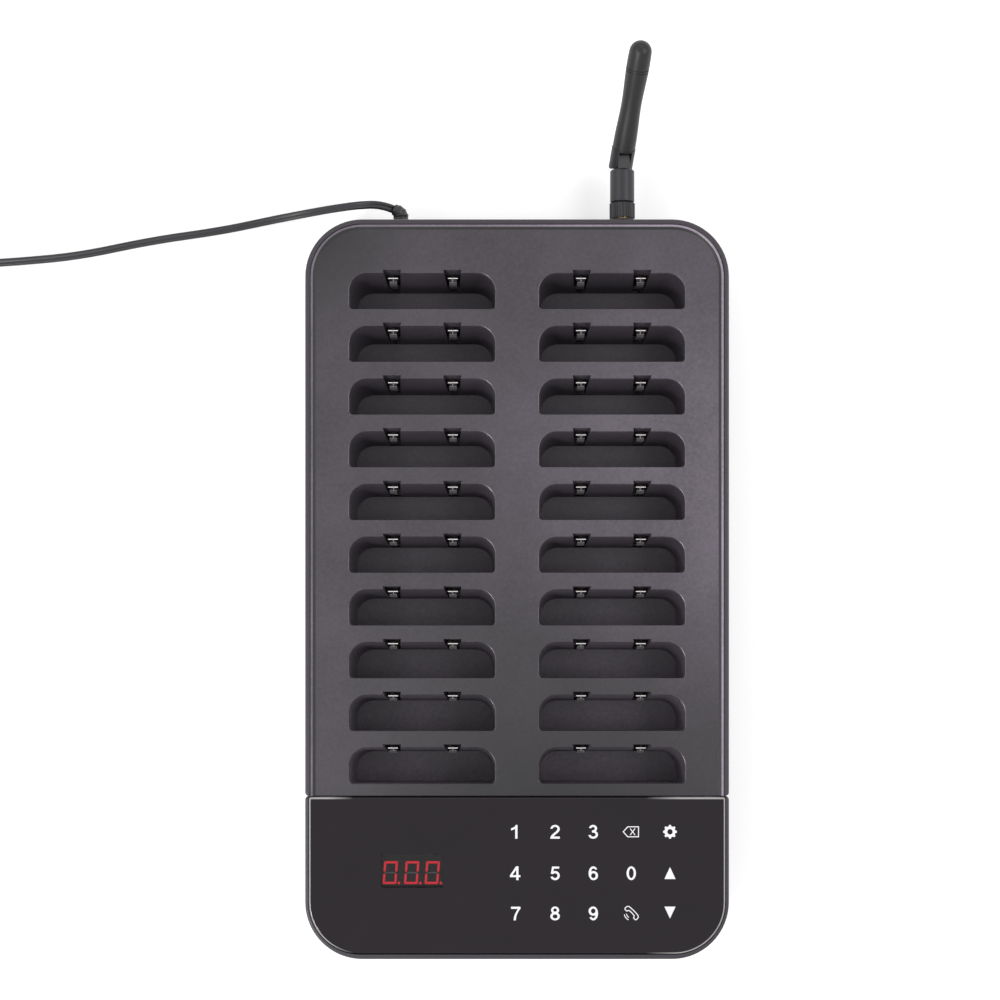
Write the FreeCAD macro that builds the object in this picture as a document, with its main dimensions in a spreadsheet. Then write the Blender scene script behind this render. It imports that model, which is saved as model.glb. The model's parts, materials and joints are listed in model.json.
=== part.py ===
import FreeCAD, Part
import Sketcher
import math
import os
from types import SimpleNamespace

# Guest pager base: a charging base with twenty slots, a touch keypad, a whip antenna and a mains adapter.
# Millimetres. +Z is up, +Y points to the rear, where the antenna is, and the origin lies on the
# standing surface under the middle of the case.

Vector = FreeCAD.Vector
os.makedirs("parts", exist_ok=True)
doc = FreeCAD.newDocument("GuestPagerBase")

# Driving dimensions
SIZES = {
    # case shells
    "case_width": 171.0,
    "case_length": 298.5,
    "corner_radius": 23.0,
    "shell_wall": 2.0,
    "underside_height": 2.0,
    "floor_thickness": 2.2,
    "parting_height": 12.0,
    "tongue_height": 1.5,
    "tongue_thickness": 0.9,
    "tongue_clearance": 0.1,
    "underside_radius": 2.5,
    "band_height": 36.5,
    "band_outer_radius": 0.9,
    "band_inner_radius": 0.2,
    "seam_corner_radius": 1.1,
    "keypad_length": 65.75,
    "seam_gap": 0.6,
    "ledge_width": 3.0,
    "ledge_thickness": 2.0,
    # charging deck
    "deck_height": 36.0,
    "deck_thickness": 2.0,
    "deck_gap": 0.2,
    "bead_height": 0.8,
    "bead_width": 0.7,
    "bead_slope_width": 1.4,
    "bead_radius": 0.3,
    # slots
    "slot_rows": 10,
    "slot_columns": 2,
    "column_pitch": 76.6,
    "row_pitch": 21.27,
    "first_row_setback": 28.95,
    "slot_width": 58.7,
    "slot_breadth": 14.3,
    "slot_rear_radius": 7.2,
    "slot_front_radius": 1.5,
    "slot_lip": 0.5,
    "pocket_depth": 25.0,
    "rear_wall_lean": 5.1,
    "front_wall_lean": 3.2,
    "side_draft": 1.0,
    "cup_wall": 1.4,
    "cup_floor": 1.6,
    # charging contacts
    "contact_spacing": 24.4,
    "notch_width": 6.8,
    "notch_reach": 1.4,
    "channel_foot_width": 4.0,
    "channel_foot_reach": 3.7,
    "channel_skin": 0.8,
    "channel_skin_depth": 22.5,
    "channel_break": 0.5,
    "channel_wall": 1.2,
    "leaf_thickness": 0.3,
    "leaf_width": 3.0,
    "leaf_head_width": 4.0,
    "leaf_head_radius": 0.4,
    "leaf_head_depth": 7.3,
    "leaf_head_setback": 1.05,
    "leaf_bulge_depth": 12.5,
    "leaf_bulge": 1.2,
    "leaf_root_setback": 3.6,
    "leaf_root_clearance": 0.05,
    "solder_foot_length": 3.2,
    "solder_foot_thickness": 0.4,
    # boards
    "board_thickness": 1.6,
    "charging_board_height": 5.9,
    "charging_board_width": 58.0,
    "charging_board_margin": 7.0,
    "main_board_height": 8.0,
    "main_board_width": 134.0,
    "main_board_length": 44.0,
    "main_board_setback": 12.0,
    "touch_board_width": 138.0,
    "touch_board_length": 50.0,
    "touch_board_setback": 9.0,
    "board_screw_inset": 4.0,
    "touch_screw_inset": 3.0,
    "board_post_radius": 2.6,
    "board_screw_radius": 1.0,
    "board_screw_head_radius": 1.9,
    "board_screw_head_height": 1.4,
    "board_screw_length": 3.8,
    "pilot_clearance": 0.05,
    # keypad
    "panel_thickness": 2.0,
    "panel_proud": 0.6,
    "panel_gap": 0.15,
    "panel_side_band": 1.3,
    "panel_front_band": 2.0,
    "panel_corner_radius": 21.0,
    "panel_rear_radius": 1.0,
    "panel_edge_radius": 0.9,
    "keypad_deck_thickness": 2.0,
    "lap_reach": 2.4,
    "lap_thickness": 1.8,
    "lap_gap": 0.6,
    "key_left": -0.9,
    "key_column_pitch": 15.62,
    "key_front_setback": 18.85,
    "key_row_pitch": 16.3,
    "key_columns": 5,
    "key_rows": 3,
    "key_hole_radius": 4.6,
    "key_pad_radius": 4.2,
    "key_pad_clearance": 0.1,
    "display_width": 25.0,
    "display_breadth": 13.6,
    "display_depth": 7.0,
    "display_centre": -42.5,
    "display_setback": 35.25,
    "display_clearance": 0.3,
    "digit_height": 9.75,
    "digit_width": 5.85,
    "digit_pitch": 8.55,
    "digit_slant": 0.85,
    "digit_drop": 0.7,
    "segment_width": 1.1,
    "segment_gap": 0.2,
    "segment_thickness": 0.2,
    "point_radius": 0.58,
    # screws and feet
    "case_screw_radius": 1.5,
    "case_screw_head_radius": 2.8,
    "case_screw_head_height": 2.2,
    "case_screw_length": 16.0,
    "case_post_radius": 4.0,
    "case_boss_radius": 3.5,
    "case_screw_seat": 7.0,
    "case_post_height": 10.0,
    "screw_well_clearance": 0.4,
    "deck_screw_inset": 9.5,
    "deck_screw_rear_setback": 24.25,
    "deck_screw_middle": 20.0,
    "deck_screw_front_setback": 11.5,
    "keypad_screw_inset": 11.5,
    "keypad_screw_setback": 21.25,
    "keypad_screw_rear_setback": 9.5,
    "driver_slot_width": 0.9,
    "driver_slot_length": 3.2,
    "driver_slot_depth": 1.1,
    "foot_radius": 8.0,
    "foot_recess": 0.5,
    "foot_side_inset": 27.5,
    "foot_end_inset": 17.25,
    "foot_edge_radius": 0.6,
    # antenna
    "antenna_place": 43.7,
    "antenna_height": 18.0,
    "antenna_tilt": 35.4,
    "antenna_roll": 12.0,
    "jack_thread_radius": 3.1,
    "jack_bore_radius": 0.65,
    "jack_length_inside": 8.0,
    "jack_length_outside": 7.0,
    "jack_flange_radius": 4.6,
    "jack_flange_thickness": 2.2,
    "wall_hole_clearance": 0.2,
    "washer_radius": 4.9,
    "washer_thickness": 0.6,
    "nut_across_flats": 8.0,
    "nut_thickness": 2.3,
    "washer_clearance": 0.2,
    "collar_radius": 5.25,
    "collar_length": 6.1,
    "collar_gap": 0.4,
    "collar_lip": 1.4,
    "knurl_count": 32,
    "knurl_depth": 0.3,
    "barrel_radius": 5.0,
    "barrel_length": 13.8,
    "barrel_chamfer": 0.6,
    "barrel_gap": 0.15,
    "spigot_radius": 2.4,
    "spigot_clearance": 0.06,
    "tongue_plate_thickness": 5.0,
    "fork_radius": 4.9,
    "fork_clearance": 0.5,
    "fork_side_clearance": 0.15,
    "fork_length": 4.2,
    "hinge_pin_radius": 1.1,
    "hinge_pin_clearance": 0.05,
    "hinge_pin_inset": 0.8,
    "whip_length": 49.6,
    "whip_base_radius": 4.7,
    "whip_waist_radius": 4.12,
    "whip_waist_place": 22.3,
    "whip_middle_radius": 4.43,
    "whip_middle_place": 14.5,
    "whip_upper_radius": 4.55,
    "whip_upper_place": 35.0,
    "whip_tip_radius": 4.53,
    "ring_setback": 11.3,
    "ring_pitch": 1.1,
    "ring_width": 0.35,
    "ring_depth": 0.15,
    # power inlet
    "inlet_place": -47.9,
    "inlet_height": 18.0,
    "inlet_radius": 3.9,
    "inlet_flange_radius": 5.0,
    "inlet_flange_thickness": 0.8,
    "inlet_length": 11.0,
    "inlet_bore_radius": 2.8,
    "inlet_bore_depth": 10.2,
    "inlet_nut_across_flats": 10.0,
    "inlet_nut_thickness": 2.2,
    "inlet_pin_radius": 0.95,
    "inlet_tag_width": 2.0,
    "inlet_tag_thickness": 0.5,
    "inlet_tag_length": 2.5,
    "inlet_tag_spacing": 4.4,
    "plug_barrel_radius": 2.75,
    "plug_bore_radius": 1.15,
    "plug_barrel_length": 9.5,
    "plug_body_radius": 3.35,
    "plug_collar_length": 2.6,
    "plug_bend_radius": 3.6,
    "plug_bend_angle": 67.0,
    "plug_rib_count": 4,
    "plug_rib_height": 0.35,
    "plug_nose_length": 0.8,
    "plug_nose_radius": 2.3,
    # lead
    "lead_width": 3.4,
    "lead_thickness": 1.8,
    "lead_first_run": 5.4,
    "lead_last_run": 16.6,
    "tail_first_run": 13.5,
    "coil_middle_radius": 19.0,
    "coil_turns": 8.25,
    "coil_layers": 4,
    "coil_step": 3.9,
    "coil_layer_step": 2.3,
    "tie_width": 6.0,
    "tie_thickness": 0.8,
    "tie_clearance": 0.6,
    # adapter
    "adapter_width": 44.0,
    "adapter_length": 72.0,
    "adapter_height": 29.0,
    "adapter_corner_radius": 5.0,
    "adapter_edge_radius": 1.6,
    "adapter_parting": 17.0,
    "adapter_groove_depth": 0.4,
    "adapter_groove_height": 0.35,
    "adapter_wall": 2.2,
    "adapter_place": -262.0,
    "adapter_rear": 42.0,
    "adapter_lead_height": 7.6,
    "adapter_board_thickness": 1.6,
    "adapter_board_height": 5.0,
    "blade_spacing": 12.7,
    "blade_width": 6.35,
    "blade_thickness": 1.5,
    "blade_length": 17.0,
    "blade_setback": 22.0,
    "blade_hole_radius": 1.6,
    "blade_tip_chamfer": 1.0,
    "blade_hole_setback": 4.0,
    "relief_neck_radius": 3.2,
    "relief_rib_depth": 0.6,
    "relief_length": 22.0,
    "relief_base_radius": 4.4,
    "relief_tip_radius": 2.7,
    "relief_rib_count": 6,
    # wiring
    "coax_radius": 0.9,
    "wire_radius": 0.7,
    "ribbon_width": 14.0,
    "ribbon_thickness": 0.7,
    # overrun of cutting shapes past the faces that they cut
    "overrun": 1.0,
}

sheet = doc.addObject("Spreadsheet::Sheet", "Sizes")
for row, (name, number) in enumerate(SIZES.items(), start=1):
    sheet.set(f"A{row}", name)
    sheet.set(f"B{row}", str(number))
    sheet.setAlias(f"B{row}", name)
doc.recompute()


class Size:
    """A size from the sheet, or one worked out from such sizes: its number and its expression."""

    def __init__(self, number, text):
        self.number = float(number)
        self.text = text

    def __float__(self):
        return self.number

    def __int__(self):
        return int(self.number)

    def __neg__(self):
        return Size(-self.number, f"-({self.text})")

    def __add__(self, other):
        other = as_size(other)
        return Size(self.number + other.number, f"({self.text} + {other.text})")

    def __radd__(self, other):
        return as_size(other) + self

    def __sub__(self, other):
        other = as_size(other)
        return Size(self.number - other.number, f"({self.text} - {other.text})")

    def __rsub__(self, other):
        return as_size(other) - self

    def __mul__(self, other):
        other = as_size(other)
        return Size(self.number * other.number, f"({self.text} * {other.text})")

    def __rmul__(self, other):
        return as_size(other) * self

    def __truediv__(self, other):
        other = as_size(other)
        return Size(self.number / other.number, f"({self.text} / {other.text})")


def as_size(value):
    """A plain number as a size, or the size itself."""
    if isinstance(value, Size):
        return value
    return Size(value, repr(float(value)))


d = SimpleNamespace(**{name: Size(number, f"Sizes.{name}") for name, number in SIZES.items()})
ZERO = as_size(0)
SAME = 1e-6

# Shares that shape small details, such as a screw's cross and the bends of a contact leaf
SLOT_SHARE = 0.62
NOTCH_FLARE_SHARE = 0.2
BULGE_SHARE = 0.72
LEAF_STEP_SHARE = 0.18
LEAF_TURN_SHARE = 0.45
FULL_TURN = 360.0
TONGUE_SHARE = 0.64
SLOT_DEPTH_SHARE = 0.76
PLUG_PLAIN_SHARE = 0.75
RIB_SHARE = 0.3
TAIL_SHARE = 0.3
ADAPTER_POST_SHARE = 0.36
ADAPTER_BOARD_SHARE = 0.43
CORE_SHARE = 0.5
CORE_LENGTH_SHARE = 1.1
TANK_PLACE_SHARE = 2.6
RELIEF_SHARES = ((0, 0), (0.55, 0), (0.62, 1), (0.95, 1))
# Shares and counts that shape the lead: its bends, and the coil's climbs, arcs and test points
BEND_SHARE = 0.45
CLIMB_SHARE = 0.25
HEADING_STEP_SHARE = 1e-4
NEXT_TURN_SHARE = 0.6
TURN_PARTS = 4
COIL_TEST_POINTS = 12
# Places and sizes of the parts on the main board, as shares of its width, length and thickness
CHIP_SHARES = [
    (-0.06, 0.30, 0.075, 0.22, 1.0),
    (-0.30, 0.55, 0.09, 0.14, 1.2),
    (0.12, 0.20, 0.06, 0.18, 2.4),
    (-0.055, 0.78, 0.045, 0.13, 2.6),
    (-0.21, 0.78, 0.045, 0.13, 2.6),
    (0.165, 0.78, 0.045, 0.13, 2.6),
    (-0.40, 0.18, 0.13, 0.12, 1.6),
    (0.30, 0.62, 0.05, 0.12, 1.0),
]
SUPPLY_SOCKET = 3
LINK_SOCKETS = (4, 5)
RIBBON_SOCKET = 6
TANK_SHARES = [(-0.14, 0.35, 0.028, 6.0), (0.24, 0.32, 0.028, 6.0)]
RADIO_SHARES = (-0.002, 0.52, 0.09, 0.38, 2.2)
PLUG_HEIGHT_SHARE = 1.25
BUZZER_SHARES = (0.4, 0.5, 0.045, 5.5)
# Lanes of a pair of wires across their socket, and the ribbon's bends across the gap that it spans
WIRE_SHARES = (0.25, 0.75)
RIBBON_SHARES = ((0, 0), (0, 0.2), (-0.25, 0.5), (0, 0.8), (0, 1))
finished = []


# General helpers

def vector(*values):
    """A point from sizes."""
    return Vector(*(float(value) for value in values))


def finish(piece, label):
    """Names a finished piece, whose label is its file's name, and keeps it for writing."""
    piece.Label = label
    finished.append(piece)
    return piece


def new_body(name):
    """An empty body."""
    return doc.addObject("PartDesign::Body", name)


def sketch_on(body, name, role="XY_Plane", offset=None):
    """A sketch on one of the body's origin planes, moved along the plane's normal."""
    sketch = body.newObject("Sketcher::SketchObject", name)
    plane = next(item for item in body.Origin.OriginFeatures if item.Role == role)
    sketch.AttachmentSupport = [(plane, "")]
    sketch.MapMode = "FlatFace"
    if offset is not None:
        sketch.setExpression("AttachmentOffset.Base.z", as_size(offset).text)
    return sketch


def constrain(sketch, kind, *places, value=None):
    """Adds one constraint, whose value follows the sheet."""
    if value is None:
        sketch.addConstraint(Sketcher.Constraint(kind, *places))
        return
    index = sketch.addConstraint(Sketcher.Constraint(kind, *places, value.number))
    sketch.setExpression(f"Constraints[{index}]", value.text)


def place_point(sketch, geometry, position, across, up):
    """Holds a point of the sketch at its two distances from the origin."""
    for kind, value, axis in (("DistanceX", across, -2), ("DistanceY", up, -1)):
        if abs(value.number) < SAME:
            constrain(sketch, "PointOnObject", geometry, position, axis)
        else:
            constrain(sketch, kind, -1, 1, geometry, position, value=value)


def direction(start, end):
    """The unit step from one corner to another along the sketch's nearer axis."""
    run = float(end[0]) - float(start[0])
    rise = float(end[1]) - float(start[1])
    if abs(run) > abs(rise):
        return math.copysign(1, run), 0
    return 0, math.copysign(1, rise)


def outline(sketch, corners):
    """A closed outline. A corner with a radius is a quarter arc between two sides along the axes."""
    count = len(corners)
    corners = [tuple(as_size(value) for value in corner) for corner in corners]
    ends = []
    for index, corner in enumerate(corners):
        if len(corner) == 2:
            ends.append((corner, corner, None))
            continue
        across, up, radius = corner
        back = direction(corner, corners[index - 1])
        ahead = direction(corner, corners[(index + 1) % count])
        entry = (across + radius * back[0], up + radius * back[1])
        leave = (across + radius * ahead[0], up + radius * ahead[1])
        ends.append((entry, leave, radius))
    first = sketch.GeometryCount
    lines = []
    for index in range(count):
        start = Vector(float(ends[index][1][0]), float(ends[index][1][1]), 0)
        end = Vector(float(ends[(index + 1) % count][0][0]), float(ends[(index + 1) % count][0][1]), 0)
        lines.append(sketch.addGeometry(Part.LineSegment(start, end), False))
    for index in range(count):
        entry, leave, radius = ends[index]
        here, before = lines[index], lines[index - 1]
        place_point(sketch, here, 1, *leave)
        if radius is None:
            constrain(sketch, "Coincident", before, 2, here, 1)
            continue
        place_point(sketch, before, 2, *entry)
        back = direction(corners[index], corners[index - 1])
        ahead = direction(corners[index], corners[(index + 1) % count])
        centre = Vector(
            float(entry[0]) + float(radius) * ahead[0], float(entry[1]) + float(radius) * ahead[1], 0
        )
        entry_angle = math.atan2(float(entry[1]) - centre.y, float(entry[0]) - centre.x)
        leave_angle = math.atan2(float(leave[1]) - centre.y, float(leave[0]) - centre.x)
        turns_left = back[1] * ahead[0] - back[0] * ahead[1] > 0
        low, high = (entry_angle, leave_angle) if turns_left else (leave_angle, entry_angle)
        circle = Part.Circle(centre, Vector(0, 0, 1), float(radius))
        arc = sketch.addGeometry(Part.ArcOfCircle(circle, low, high), False)
        start, end = (1, 2) if turns_left else (2, 1)
        constrain(sketch, "Coincident", before, 2, arc, start)
        constrain(sketch, "Coincident", arc, end, here, 1)
        constrain(sketch, "Radius", arc, value=radius)
    return first


def rectangle(sketch, left, right, low, high):
    """A plain rectangle."""
    outline(sketch, [(left, low), (right, low), (right, high), (left, high)])


def circle(sketch, across, up, radius):
    """A circle held by its centre and radius."""
    across, up, radius = as_size(across), as_size(up), as_size(radius)
    shape = Part.Circle(Vector(float(across), float(up), 0), Vector(0, 0, 1), float(radius))
    index = sketch.addGeometry(shape, False)
    place_point(sketch, index, 3, across, up)
    constrain(sketch, "Radius", index, value=radius)


def extrude(body, kind, name, sketch, length, back=False, both=False, taper=None):
    """A pad or a pocket of a sketch."""
    feature = body.newObject(kind, name)
    feature.Profile = sketch
    feature.setExpression("Length", as_size(length).text)
    feature.Reversed = back
    feature.Midplane = both
    if taper is not None:
        feature.setExpression("TaperAngle", as_size(taper).text)
    return feature


def pad(body, name, sketch, length, back=False, both=False, taper=None):
    return extrude(body, "PartDesign::Pad", name, sketch, length, back, both, taper)


def pocket(body, name, sketch, length, back=False, both=False, taper=None):
    return extrude(body, "PartDesign::Pocket", name, sketch, length, back, both, taper)


def loft(body, name, sections):
    """A ruled loft through the sections."""
    feature = body.newObject("PartDesign::AdditiveLoft", name)
    feature.Profile = sections[0]
    feature.Sections = [(section, [""]) for section in sections[1:]]
    feature.Ruled = True
    return feature


def round_edges(body, name, radius, chosen):
    """A fillet on the edges of the body so far that the test picks."""
    doc.recompute()
    base = body.Tip
    names = [f"Edge{n}" for n, edge in enumerate(base.Shape.Edges, start=1) if chosen(edge)]
    if not names:
        raise ValueError(f"{name}: no edge to round")
    feature = body.newObject("PartDesign::Fillet", name)
    feature.Base = (base, names)
    feature.setExpression("Radius", as_size(radius).text)
    doc.recompute()
    return feature


def level(edge, height):
    """Whether an edge lies flat at a height."""
    return abs(edge.BoundBox.ZMin - float(height)) < SAME and abs(edge.BoundBox.ZMax - float(height)) < SAME


def upright(edge):
    """Whether an edge runs straight up."""
    return edge.BoundBox.ZLength > SAME and edge.BoundBox.XLength < SAME and edge.BoundBox.YLength < SAME


def hang(shape_object, base):
    """Binds a piece's placement to three sizes."""
    for axis, value in zip("xyz", base):
        shape_object.setExpression(f"Placement.Base.{axis}", as_size(value).text)


def block(name, low, spans):
    """A plain box between a low corner and its three spans."""
    shape_object = doc.addObject("Part::Box", name)
    for side, value in zip(("Length", "Width", "Height"), spans):
        shape_object.setExpression(side, as_size(value).text)
    hang(shape_object, low)
    return shape_object


def rod(name, base, radius, length, along="Z"):
    """A cylinder from its base along an axis."""
    shape_object = doc.addObject("Part::Cylinder", name)
    shape_object.setExpression("Radius", as_size(radius).text)
    shape_object.setExpression("Height", as_size(length).text)
    turns = {"X": (Vector(0, 1, 0), 90), "Y": (Vector(1, 0, 0), -90), "Z": (Vector(0, 0, 1), 0)}
    shape_object.Placement.Rotation = FreeCAD.Rotation(*turns[along])
    hang(shape_object, base)
    return shape_object


def fuse(name, pieces):
    """One object of several fused ones."""
    joined = doc.addObject("Part::MultiFuse", name)
    joined.Shapes = pieces
    return joined


def cut(name, base, tool):
    """A piece less another."""
    remainder = doc.addObject("Part::Cut", name)
    remainder.Base = base
    remainder.Tool = tool
    return remainder


def shape_piece(label, shape):
    """A piece whose shape is worked out here from the sizes."""
    feature = doc.addObject("Part::Feature", label)
    feature.Shape = shape
    return finish(feature, label)



# Places that several pieces share

half_width = d.case_width / 2
half_length = d.case_length / 2
seam = d.keypad_length - half_length
rear_part_end = seam + d.seam_gap / 2
front_part_end = seam - d.seam_gap / 2
inner_floor = d.underside_height + d.floor_thickness
panel_top = d.deck_height + d.panel_proud
panel_under = panel_top - d.panel_thickness
keypad_deck_under = panel_under - d.keypad_deck_thickness
deck_under = d.deck_height - d.deck_thickness
first_row = half_length - d.first_row_setback
last_row = first_row - d.row_pitch * (d.slot_rows - 1)
column = d.column_pitch * (d.slot_columns - 1) / 2
pocket_floor = d.deck_height - d.pocket_depth
cup_under = pocket_floor - d.cup_floor
charging_board_top = d.charging_board_height + d.board_thickness
main_board_top = d.main_board_height + d.board_thickness
display_face = panel_under - d.display_clearance
touch_board_top = display_face - d.display_depth
touch_board_under = touch_board_top - d.board_thickness

deck_screw_across = half_width - d.deck_screw_inset
deck_screw_rows = [
    half_length - d.deck_screw_rear_setback,
    d.deck_screw_middle,
    seam + d.deck_screw_front_setback,
]
deck_screws = [
    (across, along) for along in deck_screw_rows for across in (-deck_screw_across, deck_screw_across)
]
keypad_screw_across = half_width - d.keypad_screw_inset
keypad_screw_rows = [seam - d.keypad_screw_rear_setback, d.keypad_screw_setback - half_length]
keypad_screws = [
    (across, along) for along in keypad_screw_rows for across in (-keypad_screw_across, keypad_screw_across)
]
case_screws = deck_screws + keypad_screws

charging_screw_span = d.charging_board_width / 2 - d.board_screw_inset
charging_screw_rows = [first_row, (first_row + last_row) / 2, last_row]
charging_screws = [
    (side * column + hand * charging_screw_span, along)
    for side in (-1, 1)
    for hand in (-1, 1)
    for along in charging_screw_rows
]
main_board_front = d.main_board_setback - half_length
main_board_rear = main_board_front + d.main_board_length
main_screw_across = d.main_board_width / 2 - d.board_screw_inset
main_screws = [
    (hand * main_screw_across, along)
    for hand in (-1, 1)
    for along in (main_board_front + d.board_screw_inset, main_board_rear - d.board_screw_inset)
]
touch_board_front = d.touch_board_setback - half_length
touch_board_rear = touch_board_front + d.touch_board_length
touch_screw_across = d.touch_board_width / 2 - d.touch_screw_inset
touch_screw_between_keys = d.key_left + d.key_column_pitch * (d.key_columns - 1.5)
touch_screws = [
    (-touch_screw_across, touch_board_front + d.touch_screw_inset),
    (touch_screw_across, touch_board_front + d.touch_screw_inset),
    (-touch_screw_across, touch_board_rear - d.touch_screw_inset),
    (touch_screw_between_keys, touch_board_rear - d.touch_screw_inset),
]
keys = [
    (d.key_left + d.key_column_pitch * step, d.key_front_setback - half_length + d.key_row_pitch * rank)
    for rank in range(SIZES["key_rows"])
    for step in range(SIZES["key_columns"])
]
display_along = d.display_setback - half_length
foot_places = [
    (hand * (half_width - d.foot_side_inset), end * (half_length - d.foot_end_inset))
    for hand in (-1, 1)
    for end in (-1, 1)
]


def shell_corner(across_sign, along_sign, inset):
    """A corner of the case's outline, moved inwards."""
    return (
        across_sign * (half_width - inset),
        along_sign * (half_length - inset),
        d.corner_radius - inset,
    )


def case_outline(sketch, inset):
    """The case's whole outline, moved inwards."""
    inset = as_size(inset)
    signs = ((-1, -1), (1, -1), (1, 1), (-1, 1))
    outline(sketch, [shell_corner(across, along, inset) for across, along in signs])


def end_ring(sketch, end, stop, outer, inner):
    """A wall round one end of the case, from its outer to its inner inset, open at the seam."""
    outer, inner = as_size(outer), as_size(inner)
    outline(
        sketch,
        [
            (outer - half_width, stop),
            (inner - half_width, stop),
            shell_corner(-1, end, inner),
            shell_corner(1, end, inner),
            (half_width - inner, stop),
            (half_width - outer, stop),
            shell_corner(1, end, outer),
            shell_corner(-1, end, outer),
        ],
    )


def end_plate(sketch, end, stop, inset):
    """The case's outline at one end, up to the seam."""
    inset = as_size(inset)
    outline(
        sketch,
        [
            (inset - half_width, stop),
            (half_width - inset, stop),
            shell_corner(1, end, inset),
            shell_corner(-1, end, inset),
        ],
    )


def circles(sketch, places, radius):
    """One circle at each place."""
    for across, along in places:
        circle(sketch, across, along, radius)


def posts(body, name, places, radius, low, high):
    """Upright round posts between two heights."""
    sketch = sketch_on(body, f"{name}_sketch", offset=low)
    circles(sketch, places, radius)
    return pad(body, name, sketch, high - low)


def holes_up(body, name, places, radius, low, depth):
    """Round holes cut upwards from a height."""
    sketch = sketch_on(body, f"{name}_sketch", offset=low)
    circles(sketch, places, radius)
    return pocket(body, name, sketch, depth, back=True)


def holes_down(body, name, places, radius, high, depth):
    """Round holes cut downwards from a height."""
    sketch = sketch_on(body, f"{name}_sketch", offset=high)
    circles(sketch, places, radius)
    return pocket(body, name, sketch, depth)


def on_outline(edge, inset):
    """Whether a long edge lies on the case's outline, moved inwards."""
    box = edge.BoundBox
    reach_across = float(half_width) - inset
    reach_along = float(half_length) - inset
    meets = (
        abs(max(abs(box.XMin), abs(box.XMax)) - reach_across) < SAME
        or abs(max(abs(box.YMin), abs(box.YMax)) - reach_along) < SAME
    )
    return meets and edge.Length > float(d.shell_wall) + float(d.overrun)


def bottom_case():
    """The tray that everything is screwed to."""
    body = new_body("BottomCase")
    base = sketch_on(body, "TrayOutline", offset=d.underside_height)
    case_outline(base, 0)
    pad(body, "Tray", base, d.parting_height - d.underside_height)
    inside = sketch_on(body, "TrayInside", offset=d.parting_height)
    case_outline(inside, d.shell_wall)
    pocket(body, "TrayHollow", inside, d.parting_height - inner_floor)
    tongue = sketch_on(body, "TongueOutline", offset=d.parting_height - d.tongue_height)
    case_outline(tongue, d.shell_wall - d.tongue_thickness)
    case_outline(tongue, d.shell_wall)
    pad(body, "Tongue", tongue, 2 * d.tongue_height)
    under = d.underside_height
    round_edges(
        body, "UndersideRound", d.underside_radius, lambda edge: level(edge, under) and on_outline(edge, 0)
    )
    root = inner_floor - d.floor_thickness / 2
    posts(body, "ScrewPosts", case_screws, d.case_post_radius, root, d.case_post_height)
    posts(body, "ChargingBoardPosts", charging_screws, d.board_post_radius, root, d.charging_board_height)
    posts(body, "MainBoardPosts", main_screws, d.board_post_radius, root, d.main_board_height)
    well_radius = d.case_screw_head_radius + d.screw_well_clearance
    holes_up(body, "ScrewWells", case_screws, well_radius, under, d.case_screw_seat - under)
    shank_radius = d.case_screw_radius + d.pilot_clearance
    holes_up(body, "ScrewHoles", case_screws, shank_radius, under, d.case_post_height - under + d.overrun)
    pilot_radius = d.board_screw_radius + d.pilot_clearance
    charging_pilot = d.board_screw_length - d.board_thickness + d.pilot_clearance
    holes_down(
        body, "ChargingBoardPilots", charging_screws, pilot_radius, d.charging_board_height, charging_pilot
    )
    holes_down(body, "MainBoardPilots", main_screws, pilot_radius, d.main_board_height, charging_pilot)
    holes_up(body, "FootRecesses", foot_places, d.foot_radius, under, d.foot_recess)
    return finish(body, "bottom_case")


def rear_housing():
    """The upper wall round the charging deck, with a ledge that the deck lies on."""
    body = new_body("RearHousing")
    wall = sketch_on(body, "WallRing", offset=d.parting_height)
    end_ring(wall, 1, rear_part_end, 0, d.shell_wall)
    pad(body, "Wall", wall, d.band_height - d.parting_height)
    ledge = sketch_on(body, "LedgeRing", offset=deck_under - d.ledge_thickness)
    end_ring(ledge, 1, rear_part_end, d.shell_wall / 2, d.shell_wall + d.ledge_width)
    pad(body, "Ledge", ledge, d.ledge_thickness)
    groove = sketch_on(body, "TongueGroove", offset=d.parting_height)
    groove_outer = d.shell_wall - d.tongue_thickness - d.tongue_clearance
    end_ring(groove, 1, rear_part_end - d.overrun, groove_outer, d.shell_wall + d.overrun)
    pocket(body, "Groove", groove, d.tongue_height + d.tongue_clearance, back=True)
    openings = sketch_on(body, "WallHoles", role="XZ_Plane", offset=-half_length)
    circle(openings, d.antenna_place, d.antenna_height, d.jack_thread_radius + d.wall_hole_clearance)
    circle(openings, d.inlet_place, d.inlet_height, d.inlet_radius + d.wall_hole_clearance)
    pocket(body, "RearHoles", openings, d.shell_wall + d.overrun, back=True)
    round_edges(
        body,
        "SeamCorners",
        d.seam_corner_radius,
        lambda edge: upright(edge) and abs(abs(edge.BoundBox.XMin) - float(half_width)) < SAME,
    )
    round_edges(
        body,
        "BandOuterRound",
        d.band_outer_radius,
        lambda edge: level(edge, d.band_height) and on_outline(edge, 0),
    )
    round_edges(
        body,
        "BandInnerRound",
        d.band_inner_radius,
        lambda edge: level(edge, d.band_height) and on_outline(edge, float(d.shell_wall)),
    )
    return finish(body, "rear_housing")


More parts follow.
